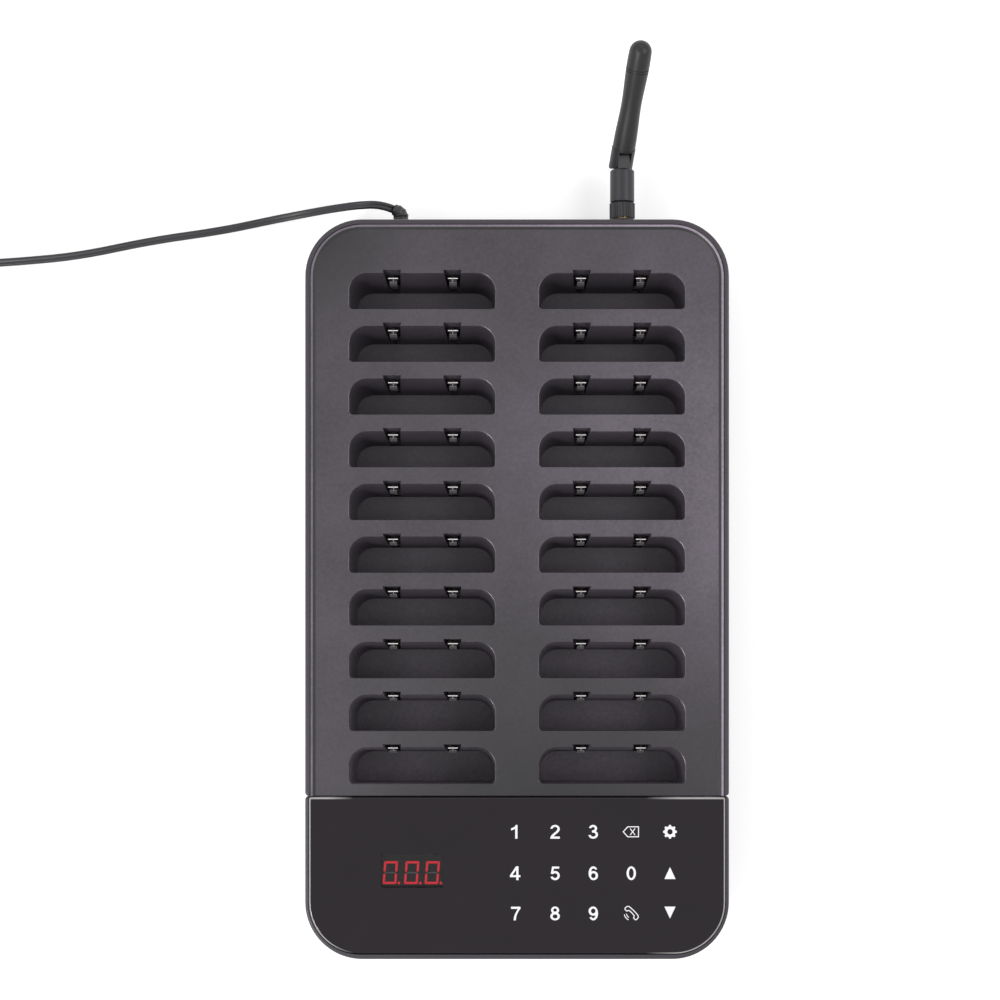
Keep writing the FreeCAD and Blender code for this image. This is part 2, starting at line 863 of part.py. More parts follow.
def slot_section(body, name, depth, drop, grow):
    """The first slot's outline at a depth: it leans forward, narrows by the draft and grows by a wall."""
    section = sketch_on(body, name, offset=d.deck_height - drop)
    across = -column
    share = depth / d.pocket_depth
    reach = d.slot_width / 2 - d.side_draft * share + grow
    rear = first_row + d.slot_breadth / 2 - d.rear_wall_lean * share + grow
    front = first_row - d.slot_breadth / 2 - d.front_wall_lean * share - grow
    outline(
        section,
        [
            (across - reach, front, d.slot_front_radius + grow),
            (across + reach, front, d.slot_front_radius + grow),
            (across + reach, rear, d.slot_rear_radius + grow),
            (across - reach, rear, d.slot_rear_radius + grow),
        ],
    )
    return section


def channel_section(body, name, hand, drop, grow=None, skin=False):
    """A contact channel's outline at a depth: it narrows down the slot's rear wall and runs under it."""
    section = sketch_on(body, name, offset=d.deck_height - drop)
    share = drop / (d.deck_height - cup_under)
    edge = first_row + d.slot_breadth / 2
    foot = edge - d.rear_wall_lean
    wall = edge - d.rear_wall_lean * drop / d.pocket_depth
    centre = hand * d.contact_spacing / 2 - column
    rear = edge + d.notch_reach + (foot + d.channel_foot_reach - edge - d.notch_reach) * share
    if skin:
        front = wall - d.channel_break
    else:
        front = edge - d.overrun + (foot + d.channel_skin - edge + d.overrun) * share
    reach = (d.notch_width + (d.channel_foot_width - d.notch_width) * share) / 2
    if grow is not None:
        front, rear, reach = front - grow / 2, rear + grow, reach + grow
    before = reach + (front - wall) * NOTCH_FLARE_SHARE
    behind = reach + (rear - wall) * NOTCH_FLARE_SHARE
    outline(
        section,
        [
            (centre - before, front),
            (centre + before, front),
            (centre + behind, rear),
            (centre - behind, rear),
        ],
    )
    return section


def slot_copies(body, name):
    """A compound of the first slot's shape at every slot."""
    doc.recompute()
    copies = []
    for row in range(SIZES["slot_rows"]):
        for rank in range(SIZES["slot_columns"]):
            copy = body.Shape.copy()
            copy.translate(Vector(rank * SIZES["column_pitch"], -row * SIZES["row_pitch"], 0))
            copies.append(copy)
    group = doc.addObject("Part::Feature", name)
    group.Shape = Part.makeCompound(copies)
    return group


def slot_cups():
    """The outsides of the cups, with the towers that hold the contact channels."""
    body = new_body("Cups")
    cup_depth = d.pocket_depth + d.cup_floor
    sections = [
        slot_section(body, "CupTop", ZERO, d.deck_thickness / 2, d.cup_wall),
        slot_section(body, "CupFoot", cup_depth, cup_depth, d.cup_wall),
    ]
    loft(body, "Cup", sections)
    for label, hand in (("Left", -1), ("Right", 1)):
        tower = [
            channel_section(body, f"{label}TowerTop", hand, ZERO, d.channel_wall),
            channel_section(body, f"{label}TowerFoot", hand, d.deck_height - cup_under, d.channel_wall),
        ]
        loft(body, f"{label}Tower", tower)
    return slot_copies(body, "AllCups")


def slot_hollows():
    """What is hollow in the cups: the pockets with their rounded lips, and the contact channels."""
    body = new_body("Hollows")
    lip = d.slot_lip
    bend_share = 1 - math.sqrt(0.5)
    sections = [
        slot_section(body, "LipOver", ZERO, -d.overrun, lip),
        slot_section(body, "LipTop", ZERO, ZERO, lip),
        slot_section(body, "LipBend", lip * bend_share, lip * bend_share, lip * bend_share),
        slot_section(body, "LipFoot", lip, lip, ZERO),
        slot_section(body, "PocketFoot", d.pocket_depth, d.pocket_depth, ZERO),
    ]
    loft(body, "Pocket", sections)
    for label, hand in (("Left", -1), ("Right", 1)):
        channel = [
            channel_section(body, f"{label}ChannelTop", hand, ZERO),
            channel_section(body, f"{label}ChannelBreak", hand, d.channel_skin_depth, skin=True),
            channel_section(body, f"{label}ChannelFoot", hand, d.deck_height - cup_under),
        ]
        loft(body, f"{label}Channel", channel)
    return slot_copies(body, "AllHollows")


def charging_deck():
    """The deck with its raised bead and its two columns of leaning cups."""
    body = new_body("DeckPlateBody")
    rim = d.shell_wall + d.deck_gap
    plate = sketch_on(body, "DeckOutline", offset=deck_under)
    end_plate(plate, 1, rear_part_end, rim)
    pad(body, "DeckPlate", plate, d.deck_thickness + d.bead_height)
    recess = sketch_on(body, "RecessOutline", offset=d.deck_height)
    end_plate(recess, 1, rear_part_end - d.overrun, rim + d.bead_width + d.bead_slope_width)
    slope = math.degrees(math.atan2(float(d.bead_slope_width), float(d.bead_height)))
    pocket(body, "Recess", recess, d.bead_height, back=True, taper=slope)
    top = d.deck_height + d.bead_height
    round_edges(
        body,
        "BeadRound",
        d.bead_radius,
        lambda edge: level(edge, top) and on_outline(edge, float(rim)),
    )
    boss_top = d.deck_height - d.deck_thickness / 2
    posts(body, "ScrewBosses", deck_screws, d.case_boss_radius, d.case_post_height, boss_top)
    depth = d.case_screw_length - (d.case_post_height - d.case_screw_seat) + d.pilot_clearance
    pilot_radius = d.case_screw_radius + d.pilot_clearance
    holes_up(body, "BossPilots", deck_screws, pilot_radius, d.case_post_height, depth)
    filled = fuse("FilledDeck", [body, slot_cups()])
    filled.Refine = False
    deck = cut("ChargingDeck", filled, slot_hollows())
    deck.Refine = False
    return finish(deck, "charging_deck")



def panel_outline(sketch, gap):
    """The keypad panel's outline, or its seat's when the gap is nothing."""
    side = half_width - d.panel_side_band - gap
    front = d.panel_front_band + gap - half_length
    corner = d.panel_corner_radius - gap
    rear = d.panel_rear_radius
    outline(
        sketch,
        [
            (-side, front, corner),
            (side, front, corner),
            (side, front_part_end, rear),
            (-side, front_part_end, rear),
        ],
    )


def display_window(sketch, clearance):
    """The display's outline, with a clearance round it."""
    reach = d.display_width / 2 + clearance
    rise = d.display_breadth / 2 + clearance
    left, right = d.display_centre - reach, d.display_centre + reach
    rectangle(sketch, left, right, display_along - rise, display_along + rise)


def keypad_housing():
    """The front upper shell, with a seat for the panel and a lap that reaches under the charging deck."""
    body = new_body("KeypadHousing")
    wall = sketch_on(body, "FrontWallRing", offset=d.parting_height)
    end_ring(wall, -1, front_part_end, 0, d.shell_wall)
    pad(body, "FrontWall", wall, d.band_height - d.parting_height)
    deck = sketch_on(body, "KeypadDeckOutline", offset=keypad_deck_under)
    end_plate(deck, -1, front_part_end, d.shell_wall / 2)
    pad(body, "KeypadDeck", deck, d.keypad_deck_thickness)
    lap_top = deck_under - d.lap_gap
    lap = sketch_on(body, "LapOutline", offset=lap_top - d.lap_thickness)
    lap_reach_across = half_width - d.shell_wall - d.ledge_width - d.overrun
    rectangle(
        lap, -lap_reach_across, lap_reach_across, front_part_end - d.lap_reach, rear_part_end + d.lap_reach
    )
    pad(body, "Lap", lap, d.lap_thickness)
    groove = sketch_on(body, "FrontTongueGroove", offset=d.parting_height)
    groove_outer = d.shell_wall - d.tongue_thickness - d.tongue_clearance
    end_ring(groove, -1, front_part_end + d.overrun, groove_outer, d.shell_wall + d.overrun)
    pocket(body, "FrontGroove", groove, d.tongue_height + d.tongue_clearance, back=True)
    post_end = panel_under - d.overrun
    posts(body, "KeypadBosses", keypad_screws, d.case_boss_radius, d.case_post_height, post_end)
    depth = d.case_screw_length - (d.case_post_height - d.case_screw_seat) + d.pilot_clearance
    pilot_radius = d.case_screw_radius + d.pilot_clearance
    holes_up(body, "KeypadBossPilots", keypad_screws, pilot_radius, d.case_post_height, depth)
    posts(body, "TouchBoardBosses", touch_screws, d.board_post_radius, touch_board_top, post_end)
    board_pilot = d.board_screw_radius + d.pilot_clearance
    board_depth = d.board_screw_length - d.board_thickness + d.pilot_clearance
    holes_up(body, "TouchBoardPilots", touch_screws, board_pilot, touch_board_top, board_depth)
    seat = sketch_on(body, "PanelSeat", offset=panel_under)
    panel_outline(seat, ZERO)
    pocket(body, "Seat", seat, d.panel_thickness, back=True)
    window = sketch_on(body, "DisplayWindow", offset=panel_under)
    display_window(window, d.display_clearance)
    pocket(body, "Window", window, d.keypad_deck_thickness + d.overrun)
    holes_down(body, "KeyHoles", keys, d.key_hole_radius, panel_under, d.keypad_deck_thickness + d.overrun)
    round_edges(
        body,
        "FrontSeamCorners",
        d.seam_corner_radius,
        lambda edge: upright(edge) and abs(abs(edge.BoundBox.XMin) - float(half_width)) < SAME,
    )
    round_edges(
        body,
        "FrontBandRound",
        d.band_outer_radius,
        lambda edge: level(edge, d.band_height) and on_outline(edge, 0),
    )
    return finish(body, "keypad_housing")


def keypad_panel():
    """The smoked panel over the display and the touch keys."""
    body = new_body("KeypadPanel")
    sketch = sketch_on(body, "PanelOutline", offset=panel_under)
    panel_outline(sketch, d.panel_gap)
    pad(body, "Panel", sketch, d.panel_thickness)
    round_edges(body, "PanelEdge", d.panel_edge_radius, lambda edge: level(edge, panel_top))
    return finish(body, "keypad_panel")


def slanted(across, up, centre):
    """A point of a digit, leaned to the right with its height."""
    lean = d.digit_slant * up / d.digit_height
    return (centre + across + lean, display_along - d.digit_drop + up)


def bar(sketch, start, stop, half, centre):
    """A six-sided bar of a digit between two points, level or upright before it leans."""
    (x0, y0), (x1, y1) = start, stop
    if abs(float(x1 - x0)) > abs(float(y1 - y0)):
        corners = [(x0, y0), (x0 + half, y0 - half), (x1 - half, y1 - half), (x1, y1)]
        corners += [(x1 - half, y1 + half), (x0 + half, y0 + half)]
    else:
        corners = [(x0, y0), (x0 + half, y0 + half), (x1 + half, y1 - half), (x1, y1)]
        corners += [(x1 - half, y1 - half), (x0 - half, y0 + half)]
    outline(sketch, [slanted(across, up, centre) for across, up in corners])


def display():
    """The three-digit display block and the light windows on its face."""
    body = new_body("DisplayModule")
    sketch = sketch_on(body, "DisplayOutline", offset=touch_board_top)
    display_window(sketch, ZERO)
    pad(body, "DisplayBlock", sketch, d.display_depth)
    finish(body, "display_module")

    lights = new_body("DisplaySegments")
    half = d.segment_width / 2
    reach = (d.digit_width - d.segment_width) / 2
    rise = (d.digit_height - d.segment_width) / 2
    gap = d.segment_gap / 2
    for digit in (-1, 0, 1):
        face = sketch_on(lights, f"Digit{digit + 2}", offset=display_face)
        centre = d.display_centre + digit * d.digit_pitch
        for up in (-rise, ZERO, rise):
            bar(face, (-reach + gap, up), (reach - gap, up), half, centre)
        for across in (-reach, reach):
            bar(face, (across, -rise + gap), (across, ZERO - gap), half, centre)
            bar(face, (across, ZERO + gap), (across, rise - gap), half, centre)
        aside = reach + 2 * half + d.point_radius / 2
        point_across, point_up = slanted(aside, -rise - half + d.point_radius, centre)
        circle(face, point_across, point_up, d.point_radius)
        pad(lights, f"DigitLights{digit + 2}", face, d.segment_thickness)
    return finish(lights, "display_segments")


def board(label, left, right, front, rear, under, holes):
    """A circuit board with its screw holes."""
    body = new_body(label.title().replace("_", ""))
    sketch = sketch_on(body, f"{label}_outline", offset=under)
    rectangle(sketch, left, right, front, rear)
    circles(sketch, holes, d.board_screw_radius + d.pilot_clearance)
    pad(body, f"{label}_plate", sketch, d.board_thickness)
    return finish(body, label)


def boards():
    """The touch board under the panel, the main board under it and the two charging boards."""
    touch_across = d.touch_board_width / 2
    board(
        "touch_board",
        -touch_across,
        touch_across,
        touch_board_front,
        touch_board_rear,
        touch_board_under,
        touch_screws,
    )
    main_across = d.main_board_width / 2
    board(
        "main_board",
        -main_across,
        main_across,
        main_board_front,
        main_board_rear,
        d.main_board_height,
        main_screws,
    )
    for side, label in ((-1, "charging_board_left"), (1, "charging_board_right")):
        centre = side * column
        reach = d.charging_board_width / 2
        holes = [place for place in charging_screws if float(place[0]) * side > 0]
        board(
            label,
            centre - reach,
            centre + reach,
            last_row - d.charging_board_margin,
            first_row + d.charging_board_margin,
            d.charging_board_height,
            holes,
        )


def key_pads():
    """The springy pads that carry the touch through to the panel."""
    body = new_body("KeyPads")
    posts(body, "Pads", keys, d.key_pad_radius, touch_board_top, panel_under - d.key_pad_clearance)
    return finish(body, "key_pads")


def screw_group(name, label, places, radii, heights):
    """A group of like screws: head, shank and the cross in the head, from their heights."""
    head_radius, shank_radius = radii
    head_low, head_high, tip_low, tip_high, cross_height = heights
    body = new_body(name)
    sketch = sketch_on(body, f"{name}_heads", offset=head_low)
    circles(sketch, places, head_radius)
    pad(body, f"{name}_head_pad", sketch, head_high - head_low)
    sketch = sketch_on(body, f"{name}_shanks", offset=tip_low)
    circles(sketch, places, shank_radius)
    pad(body, f"{name}_shank_pad", sketch, tip_high - tip_low)
    reach, half = d.driver_slot_length / 2, d.driver_slot_width / 2
    if float(head_radius) < float(d.driver_slot_length):
        reach = head_radius * SLOT_SHARE
    for turn, (wide, tall) in enumerate(((reach, half), (half, reach))):
        sketch = sketch_on(body, f"{name}_cross_{turn}", offset=cross_height)
        for across, along in places:
            rectangle(sketch, across - wide, across + wide, along - tall, along + tall)
        upwards = float(cross_height) < float(tip_high)
        pocket(body, f"{name}_cross_cut_{turn}", sketch, d.driver_slot_depth, back=upwards)
    return finish(body, label)


def screws():
    """The case screws from below, and the board screws from above and below."""
    head_low = d.case_screw_seat - d.case_screw_head_height
    tip = d.case_screw_seat + d.case_screw_length
    screw_group(
        "CaseScrews",
        "case_screws",
        case_screws,
        (d.case_screw_head_radius, d.case_screw_radius),
        (head_low, d.case_screw_seat, head_low, tip, head_low),
    )
    for name, places, surface in (
        ("ChargingScrews", charging_screws, charging_board_top),
        ("MainScrews", main_screws, main_board_top),
    ):
        top = surface + d.board_screw_head_height
        screw_group(
            name,
            name,
            places,
            (d.board_screw_head_radius, d.board_screw_radius),
            (surface, top, surface - d.board_screw_length, surface, top),
        )
    low = touch_board_under - d.board_screw_head_height
    screw_group(
        "TouchScrews",
        "TouchScrews",
        touch_screws,
        (d.board_screw_head_radius, d.board_screw_radius),
        (low, touch_board_under, low, touch_board_under + d.board_screw_length, low),
    )
    parts = [finished.pop(), finished.pop(), finished.pop()]
    group = doc.addObject("Part::Compound", "BoardScrews")
    group.Links = parts
    return finish(group, "board_screws")


def rubber_feet():
    """The four stick-on feet, each sunk a little into the underside."""
    body = new_body("RubberFeet")
    foot_end = d.underside_height + d.foot_recess
    posts(body, "Feet", foot_places, d.foot_radius - d.pilot_clearance, ZERO, foot_end)
    round_edges(body, "FootEdges", d.foot_edge_radius, lambda edge: level(edge, 0))
    return finish(body, "rubber_feet")


def leaf_sides(body_along):
    """The side view of a contact leaf: up from its root, forward into the pocket and back to its head."""
    wall_slope = d.rear_wall_lean / d.pocket_depth
    edge = d.slot_breadth / 2
    root_drop = d.deck_height - charging_board_top - d.solder_foot_thickness - d.leaf_root_clearance
    wall = edge - wall_slope * d.leaf_bulge_depth
    beside = wall - d.leaf_bulge * BULGE_SHARE
    middle = (
        (edge - d.leaf_root_setback, root_drop),
        (edge - d.leaf_root_setback, (root_drop + d.leaf_bulge_depth) / 2),
        (beside, d.leaf_bulge_depth * (1 + LEAF_STEP_SHARE)),
        (wall - d.leaf_bulge, d.leaf_bulge_depth),
        (beside, d.leaf_bulge_depth - (d.leaf_bulge_depth - d.leaf_head_depth) * LEAF_TURN_SHARE),
        (edge - d.leaf_head_setback, d.leaf_head_depth),
    )
    half = d.leaf_thickness / 2
    near = [(along - half, d.deck_height - drop) for along, drop in middle]
    far = [(along + half, d.deck_height - drop) for along, drop in reversed(middle)]
    return near + far


def contact_pair(label, across, along):
    """The two spring contacts of one slot."""
    body = new_body(label.title().replace("_", ""))
    features = []
    side = sketch_on(body, f"{label}_side", role="YZ_Plane", offset=d.contact_spacing / 2)
    outline(side, leaf_sides(along))
    features.append(pad(body, f"{label}_leaf", side, d.leaf_width, both=True))
    head = sketch_on(body, f"{label}_head_side", role="YZ_Plane", offset=d.contact_spacing / 2)
    head_along = d.slot_breadth / 2 - d.leaf_head_setback
    circle(head, head_along, d.deck_height - d.leaf_head_depth, d.leaf_head_radius)
    features.append(pad(body, f"{label}_head", head, d.leaf_head_width, both=True))
    doc.recompute()
    mirror = body.newObject("PartDesign::Mirrored", f"{label}_mirror")
    mirror.Originals = features
    plane = next(item for item in body.Origin.OriginFeatures if item.Role == "YZ_Plane")
    mirror.MirrorPlane = (plane, [""])
    body.Tip = mirror
    hang(body, (across, along, ZERO))
    return finish(body, label)


def contacts():
    """A pair of spring contacts for each slot, and the soldered feet that hold them."""
    feet = []
    for side, name in ((-1, "left"), (1, "right")):
        for row in range(SIZES["slot_rows"]):
            across, along = side * column, first_row - row * d.row_pitch
            contact_pair(f"contacts_{name}_{row + 1:02d}", across, along)
            root = along + d.slot_breadth / 2 - d.leaf_root_setback
            for hand in (-1, 1):
                left = across + hand * d.contact_spacing / 2 - d.leaf_width / 2
                low = (left, root - d.leaf_thickness / 2, charging_board_top)
                spans = (d.leaf_width, d.solder_foot_length, d.solder_foot_thickness)
                feet.append(block(f"SolderFoot{name}{row}{hand + 1}", low, spans))
    group = doc.addObject("Part::Compound", "SolderFeet")
    group.Links = feet
    return finish(group, "solder_feet")



# Turned, swept and antenna pieces

wall_face = half_length
washer_end = wall_face + d.washer_thickness
nut_end = washer_end + d.nut_thickness
collar_start = nut_end + d.collar_gap
collar_end = collar_start + d.collar_length
barrel_start = collar_end + d.barrel_gap
barrel_end = barrel_start + d.barrel_length
pivot = barrel_end + d.fork_clearance + d.fork_radius
inlet_front = wall_face + d.inlet_flange_thickness
inlet_back = inlet_front - d.inlet_length
plug_start = inlet_front


def turned(name, profile, base):
    """A body turned about an axis along Y through its base: the profile is radius against distance."""
    body = new_body(name)
    sketch = sketch_on(body, f"{name}_profile")
    outline(sketch, profile)
    turn = body.newObject("PartDesign::Revolution", f"{name}_turn")
    turn.Profile = sketch
    turn.ReferenceAxis = (sketch, ["V_Axis"])
    turn.Angle = FULL_TURN
    hang(body, base)
    return body


def hexagon(sketch, across_flats):
    """A hexagon round the sketch's origin."""
    flat = across_flats / 2
    point = across_flats / math.sqrt(3)
    outline(
        sketch,
        [
            (point, ZERO),
            (point / 2, flat),
            (-point / 2, flat),
            (-point, ZERO),
            (-point / 2, -flat),
            (point / 2, -flat),
        ],
    )


def hex_nut(name, across_flats, bore, low, high, base):
    """A hexagonal nut along Y."""
    body = new_body(name)
    sketch = sketch_on(body, f"{name}_outline", role="XZ_Plane", offset=-high)
    hexagon(sketch, across_flats)
    circle(sketch, ZERO, ZERO, bore)
    pad(body, f"{name}_pad", sketch, high - low)
    hang(body, base)
    return body


def drum(radius, low, high, along=Vector(0, 1, 0)):
    """A plain cylinder on an axis through the origin, between two distances along it."""
    return Part.makeCylinder(float(radius), float(high) - float(low), along * float(low), along)


def knurled_ring(radius, depth, count, low, high):
    """A ring with a tooth for each step of its knurl."""
    points = []
    for step in range(2 * int(count) + 1):
        angle = math.pi * step / int(count)
        reach = float(radius) - (step % 2) * float(depth)
        points.append(Vector(reach * math.sin(angle), float(low), reach * math.cos(angle)))
    face = Part.Face(Part.Wire(Part.makePolygon(points)))
    return face.extrude(Vector(0, float(high) - float(low), 0))


def antenna_mount():
    """The threaded jack through the rear wall, its washer and nut, and the knurled collar screwed on it."""
    axis = (d.antenna_place, ZERO, d.antenna_height)
    thread, bore = d.jack_thread_radius, d.jack_bore_radius
    inner_face = wall_face - d.shell_wall
    back = inner_face - d.jack_length_inside
    jack = turned(
        "AntennaJack",
        [
            (bore, back),
            (thread, back),
            (thread, inner_face - d.jack_flange_thickness),
            (d.jack_flange_radius, inner_face - d.jack_flange_thickness),
            (d.jack_flange_radius, inner_face),
            (thread, inner_face),
            (thread, wall_face + d.jack_length_outside),
            (bore, wall_face + d.jack_length_outside),
        ],
        axis,
    )
    finish(jack, "antenna_jack")
    hole = thread + d.washer_clearance
    washer = turned(
        "AntennaWasher",
        [
            (hole, wall_face),
            (d.washer_radius, wall_face),
            (d.washer_radius, washer_end),
            (hole, washer_end),
        ],
        axis,
    )
    nut = hex_nut("AntennaNut", d.nut_across_flats, thread, washer_end, nut_end, axis)
    group = doc.addObject("Part::Compound", "AntennaNutAndWasher")
    group.Links = [nut, washer]
    finish(group, "antenna_nut")

    ring = knurled_ring(d.collar_radius, d.knurl_depth, d.knurl_count, collar_start, collar_end)
    lip_start = collar_end - d.collar_lip
    ring = ring.cut(drum(thread, collar_start - d.overrun, lip_start))
    mouth_radius = d.spigot_radius + d.spigot_clearance
    ring = ring.cut(drum(mouth_radius, lip_start - d.overrun, collar_end + d.overrun))
    collar = shape_piece("antenna_collar", ring)
    collar.Placement.Base = Vector(float(d.antenna_place), 0, float(d.antenna_height))


def antenna():
    """The barrel that turns in the collar, and the whip on its hinge pin."""
    roll = FreeCAD.Rotation(Vector(0, 1, 0), float(d.antenna_roll))
    tilt = FreeCAD.Rotation(Vector(1, 0, 0), float(d.antenna_tilt))
    lip_start = collar_end - d.collar_lip
    flange_end = lip_start - d.spigot_clearance
    radius, chamfer = d.barrel_radius, d.barrel_chamfer
    profile = [
        (ZERO, wall_face + d.jack_length_outside + d.spigot_clearance),
        (d.jack_thread_radius - d.spigot_clearance, wall_face + d.jack_length_outside + d.spigot_clearance),
        (d.jack_thread_radius - d.spigot_clearance, flange_end),
        (d.spigot_radius, flange_end),
        (d.spigot_radius, barrel_start),
        (radius - chamfer, barrel_start),
        (radius, barrel_start + chamfer),
        (radius, barrel_end - chamfer),
        (radius - chamfer, barrel_end),
        (ZERO, barrel_end),
    ]
    corners = [Vector(float(across), float(along), 0) for across, along in profile]
    wire = Part.makePolygon(corners + corners[:1])
    barrel = Part.Face(wire).revolve(Vector(0, 0, 0), Vector(0, 1, 0), FULL_TURN)
    half = float(d.tongue_plate_thickness) / 2
    eye = float(d.fork_radius) * TONGUE_SHARE
    reach = float(pivot) - float(barrel_end) + float(chamfer)
    sheet_low = Vector(-half, float(barrel_end) - float(chamfer), -eye)
    tongue = Part.makeBox(2 * half, reach, 2 * eye, sheet_low)
    centre = Vector(-half, float(pivot), 0)
    tongue = tongue.fuse(Part.makeCylinder(eye, 2 * half, centre, Vector(1, 0, 0)))
    hole_start = centre - Vector(half, 0, 0)
    hole = Part.makeCylinder(float(d.hinge_pin_radius), 4 * half, hole_start, Vector(1, 0, 0))
    piece = shape_piece("antenna_barrel", barrel.fuse(tongue).cut(hole).removeSplitter())
    piece.Placement = FreeCAD.Placement(Vector(float(d.antenna_place), 0, float(d.antenna_height)), roll)

    pivot_place = Vector(float(d.antenna_place), float(pivot), float(d.antenna_height))
    pin_reach = float(d.fork_radius - d.hinge_pin_inset)
    pin_start = Vector(-pin_reach, 0, 0)
    pin = Part.makeCylinder(float(d.hinge_pin_radius), 2 * pin_reach, pin_start, Vector(1, 0, 0))
    piece = shape_piece("antenna_pin", pin)
    piece.Placement = FreeCAD.Placement(pivot_place, roll)

    piece = shape_piece("antenna_whip", whip())
    piece.Placement = FreeCAD.Placement(pivot_place, roll * tilt)


def whip():
    """The whip about its pivot, pointing along Y: a fork, a waisted sleeve, two rings and a domed tip."""
    fork_end, tip = float(d.fork_length), float(d.whip_length)
    dome = float(d.whip_tip_radius)
    fork, base = float(d.fork_radius), float(d.whip_base_radius)

    def point(across, along):
        return Vector(across, along, 0)

    half_root = math.sqrt(0.5)
    waist = Part.BSplineCurve()
    waist.interpolate(
        [
            point(base, fork_end),
            point(float(d.whip_middle_radius), float(d.whip_middle_place)),
            point(float(d.whip_waist_radius), float(d.whip_waist_place)),
            point(float(d.whip_upper_radius), float(d.whip_upper_place)),
            point(dome, tip - dome),
        ]
    )
    edges = [
        Part.LineSegment(point(0, -fork), point(fork, -fork)),
        Part.LineSegment(point(fork, -fork), point(fork, fork_end)),
        Part.LineSegment(point(fork, fork_end), point(base, fork_end)),
        waist,
        Part.Arc(
            point(dome, tip - dome),
            point(dome * half_root, tip - dome + dome * half_root),
            point(0, tip),
        ),
        Part.LineSegment(point(0, tip), point(0, -fork)),
    ]
    face = Part.Face(Part.Wire([edge.toShape() for edge in edges]))
    shape = face.revolve(Vector(0, 0, 0), Vector(0, 1, 0), FULL_TURN)
    for step in (0, 1):
        along = tip - float(d.ring_setback) - step * float(d.ring_pitch)
        ring_end = along + float(d.ring_width)
        outer = Part.makeCylinder(2 * dome, float(d.ring_width), Vector(0, along, 0), Vector(0, 1, 0))
        inner = drum(dome - float(d.ring_depth), along - float(d.overrun), ring_end + float(d.overrun))
        shape = shape.cut(outer.cut(inner))
    reach = 2 * fork
    ears = Part.makeCylinder(fork, 2 * reach, Vector(-reach, 0, 0), Vector(1, 0, 0))
    rest = Part.makeBox(2 * reach, 2 * tip, 2 * reach, Vector(-reach, 0, -reach))
    shape = shape.common(ears.fuse(rest))
    slot = float(d.tongue_plate_thickness) / 2 + float(d.fork_side_clearance)
    depth = fork * SLOT_DEPTH_SHARE
    gap = Part.makeBox(2 * slot, depth + 2 * fork, 4 * fork, Vector(-slot, -2 * fork, -2 * fork))
    shape = shape.cut(gap)
    pin_radius = float(d.hinge_pin_radius + d.hinge_pin_clearance)
    pin_reach = float(d.fork_radius - d.hinge_pin_inset + d.hinge_pin_clearance)
    pin_start = Vector(-pin_reach, 0, 0)
    return shape.cut(Part.makeCylinder(pin_radius, 2 * pin_reach, pin_start, Vector(1, 0, 0)))


def power_inlet():
    """The round power socket in the rear wall, with its tags, and the nut that holds it."""
    axis = (d.inlet_place, ZERO, d.inlet_height)
    floor = inlet_front - d.inlet_bore_depth
    tip = wall_face
    body = turned(
        "PowerInlet",
        [
            (ZERO, inlet_back),
            (d.inlet_radius, inlet_back),
            (d.inlet_radius, wall_face),
            (d.inlet_flange_radius, wall_face),
            (d.inlet_flange_radius, inlet_front),
            (d.inlet_bore_radius, inlet_front),
            (d.inlet_bore_radius, floor),
            (d.inlet_pin_radius, floor),
            (d.inlet_pin_radius, tip),
            (ZERO, tip),
        ],
        axis,
    )
    tags = [
        block(
            f"InletTag{hand + 1}",
            (
                d.inlet_place - d.inlet_tag_width / 2,
                inlet_back - d.inlet_tag_length,
                d.inlet_height + hand * d.inlet_tag_spacing / 2 - d.inlet_tag_thickness / 2,
            ),
            (d.inlet_tag_width, d.inlet_tag_length + d.inlet_tag_thickness, d.inlet_tag_thickness),
        )
        for hand in (-1, 1)
    ]
    finish(fuse("PowerInletWithTags", [body] + tags), "power_inlet")
    inner_face = wall_face - d.shell_wall
    nut_back = inner_face - d.inlet_nut_thickness
    nut = hex_nut("InletNut", d.inlet_nut_across_flats, d.inlet_radius, nut_back, inner_face, axis)
    finish(nut, "inlet_nut")


def ring_wire(place, heading, radius, up=Vector(0, 0, 1)):
    """A circle square to a heading, whose seam faces up."""
    turn = FreeCAD.Rotation(up, heading.cross(up), heading, "ZXY")
    wire = Part.Wire(Part.makeCircle(float(radius)))
    wire.Placement = FreeCAD.Placement(place, turn)
    return wire


def ribbed(stations):
    """A ruled solid through circles, each given as its place, heading and radius."""
    return Part.makeLoft([ring_wire(*station) for station in stations], True, True)


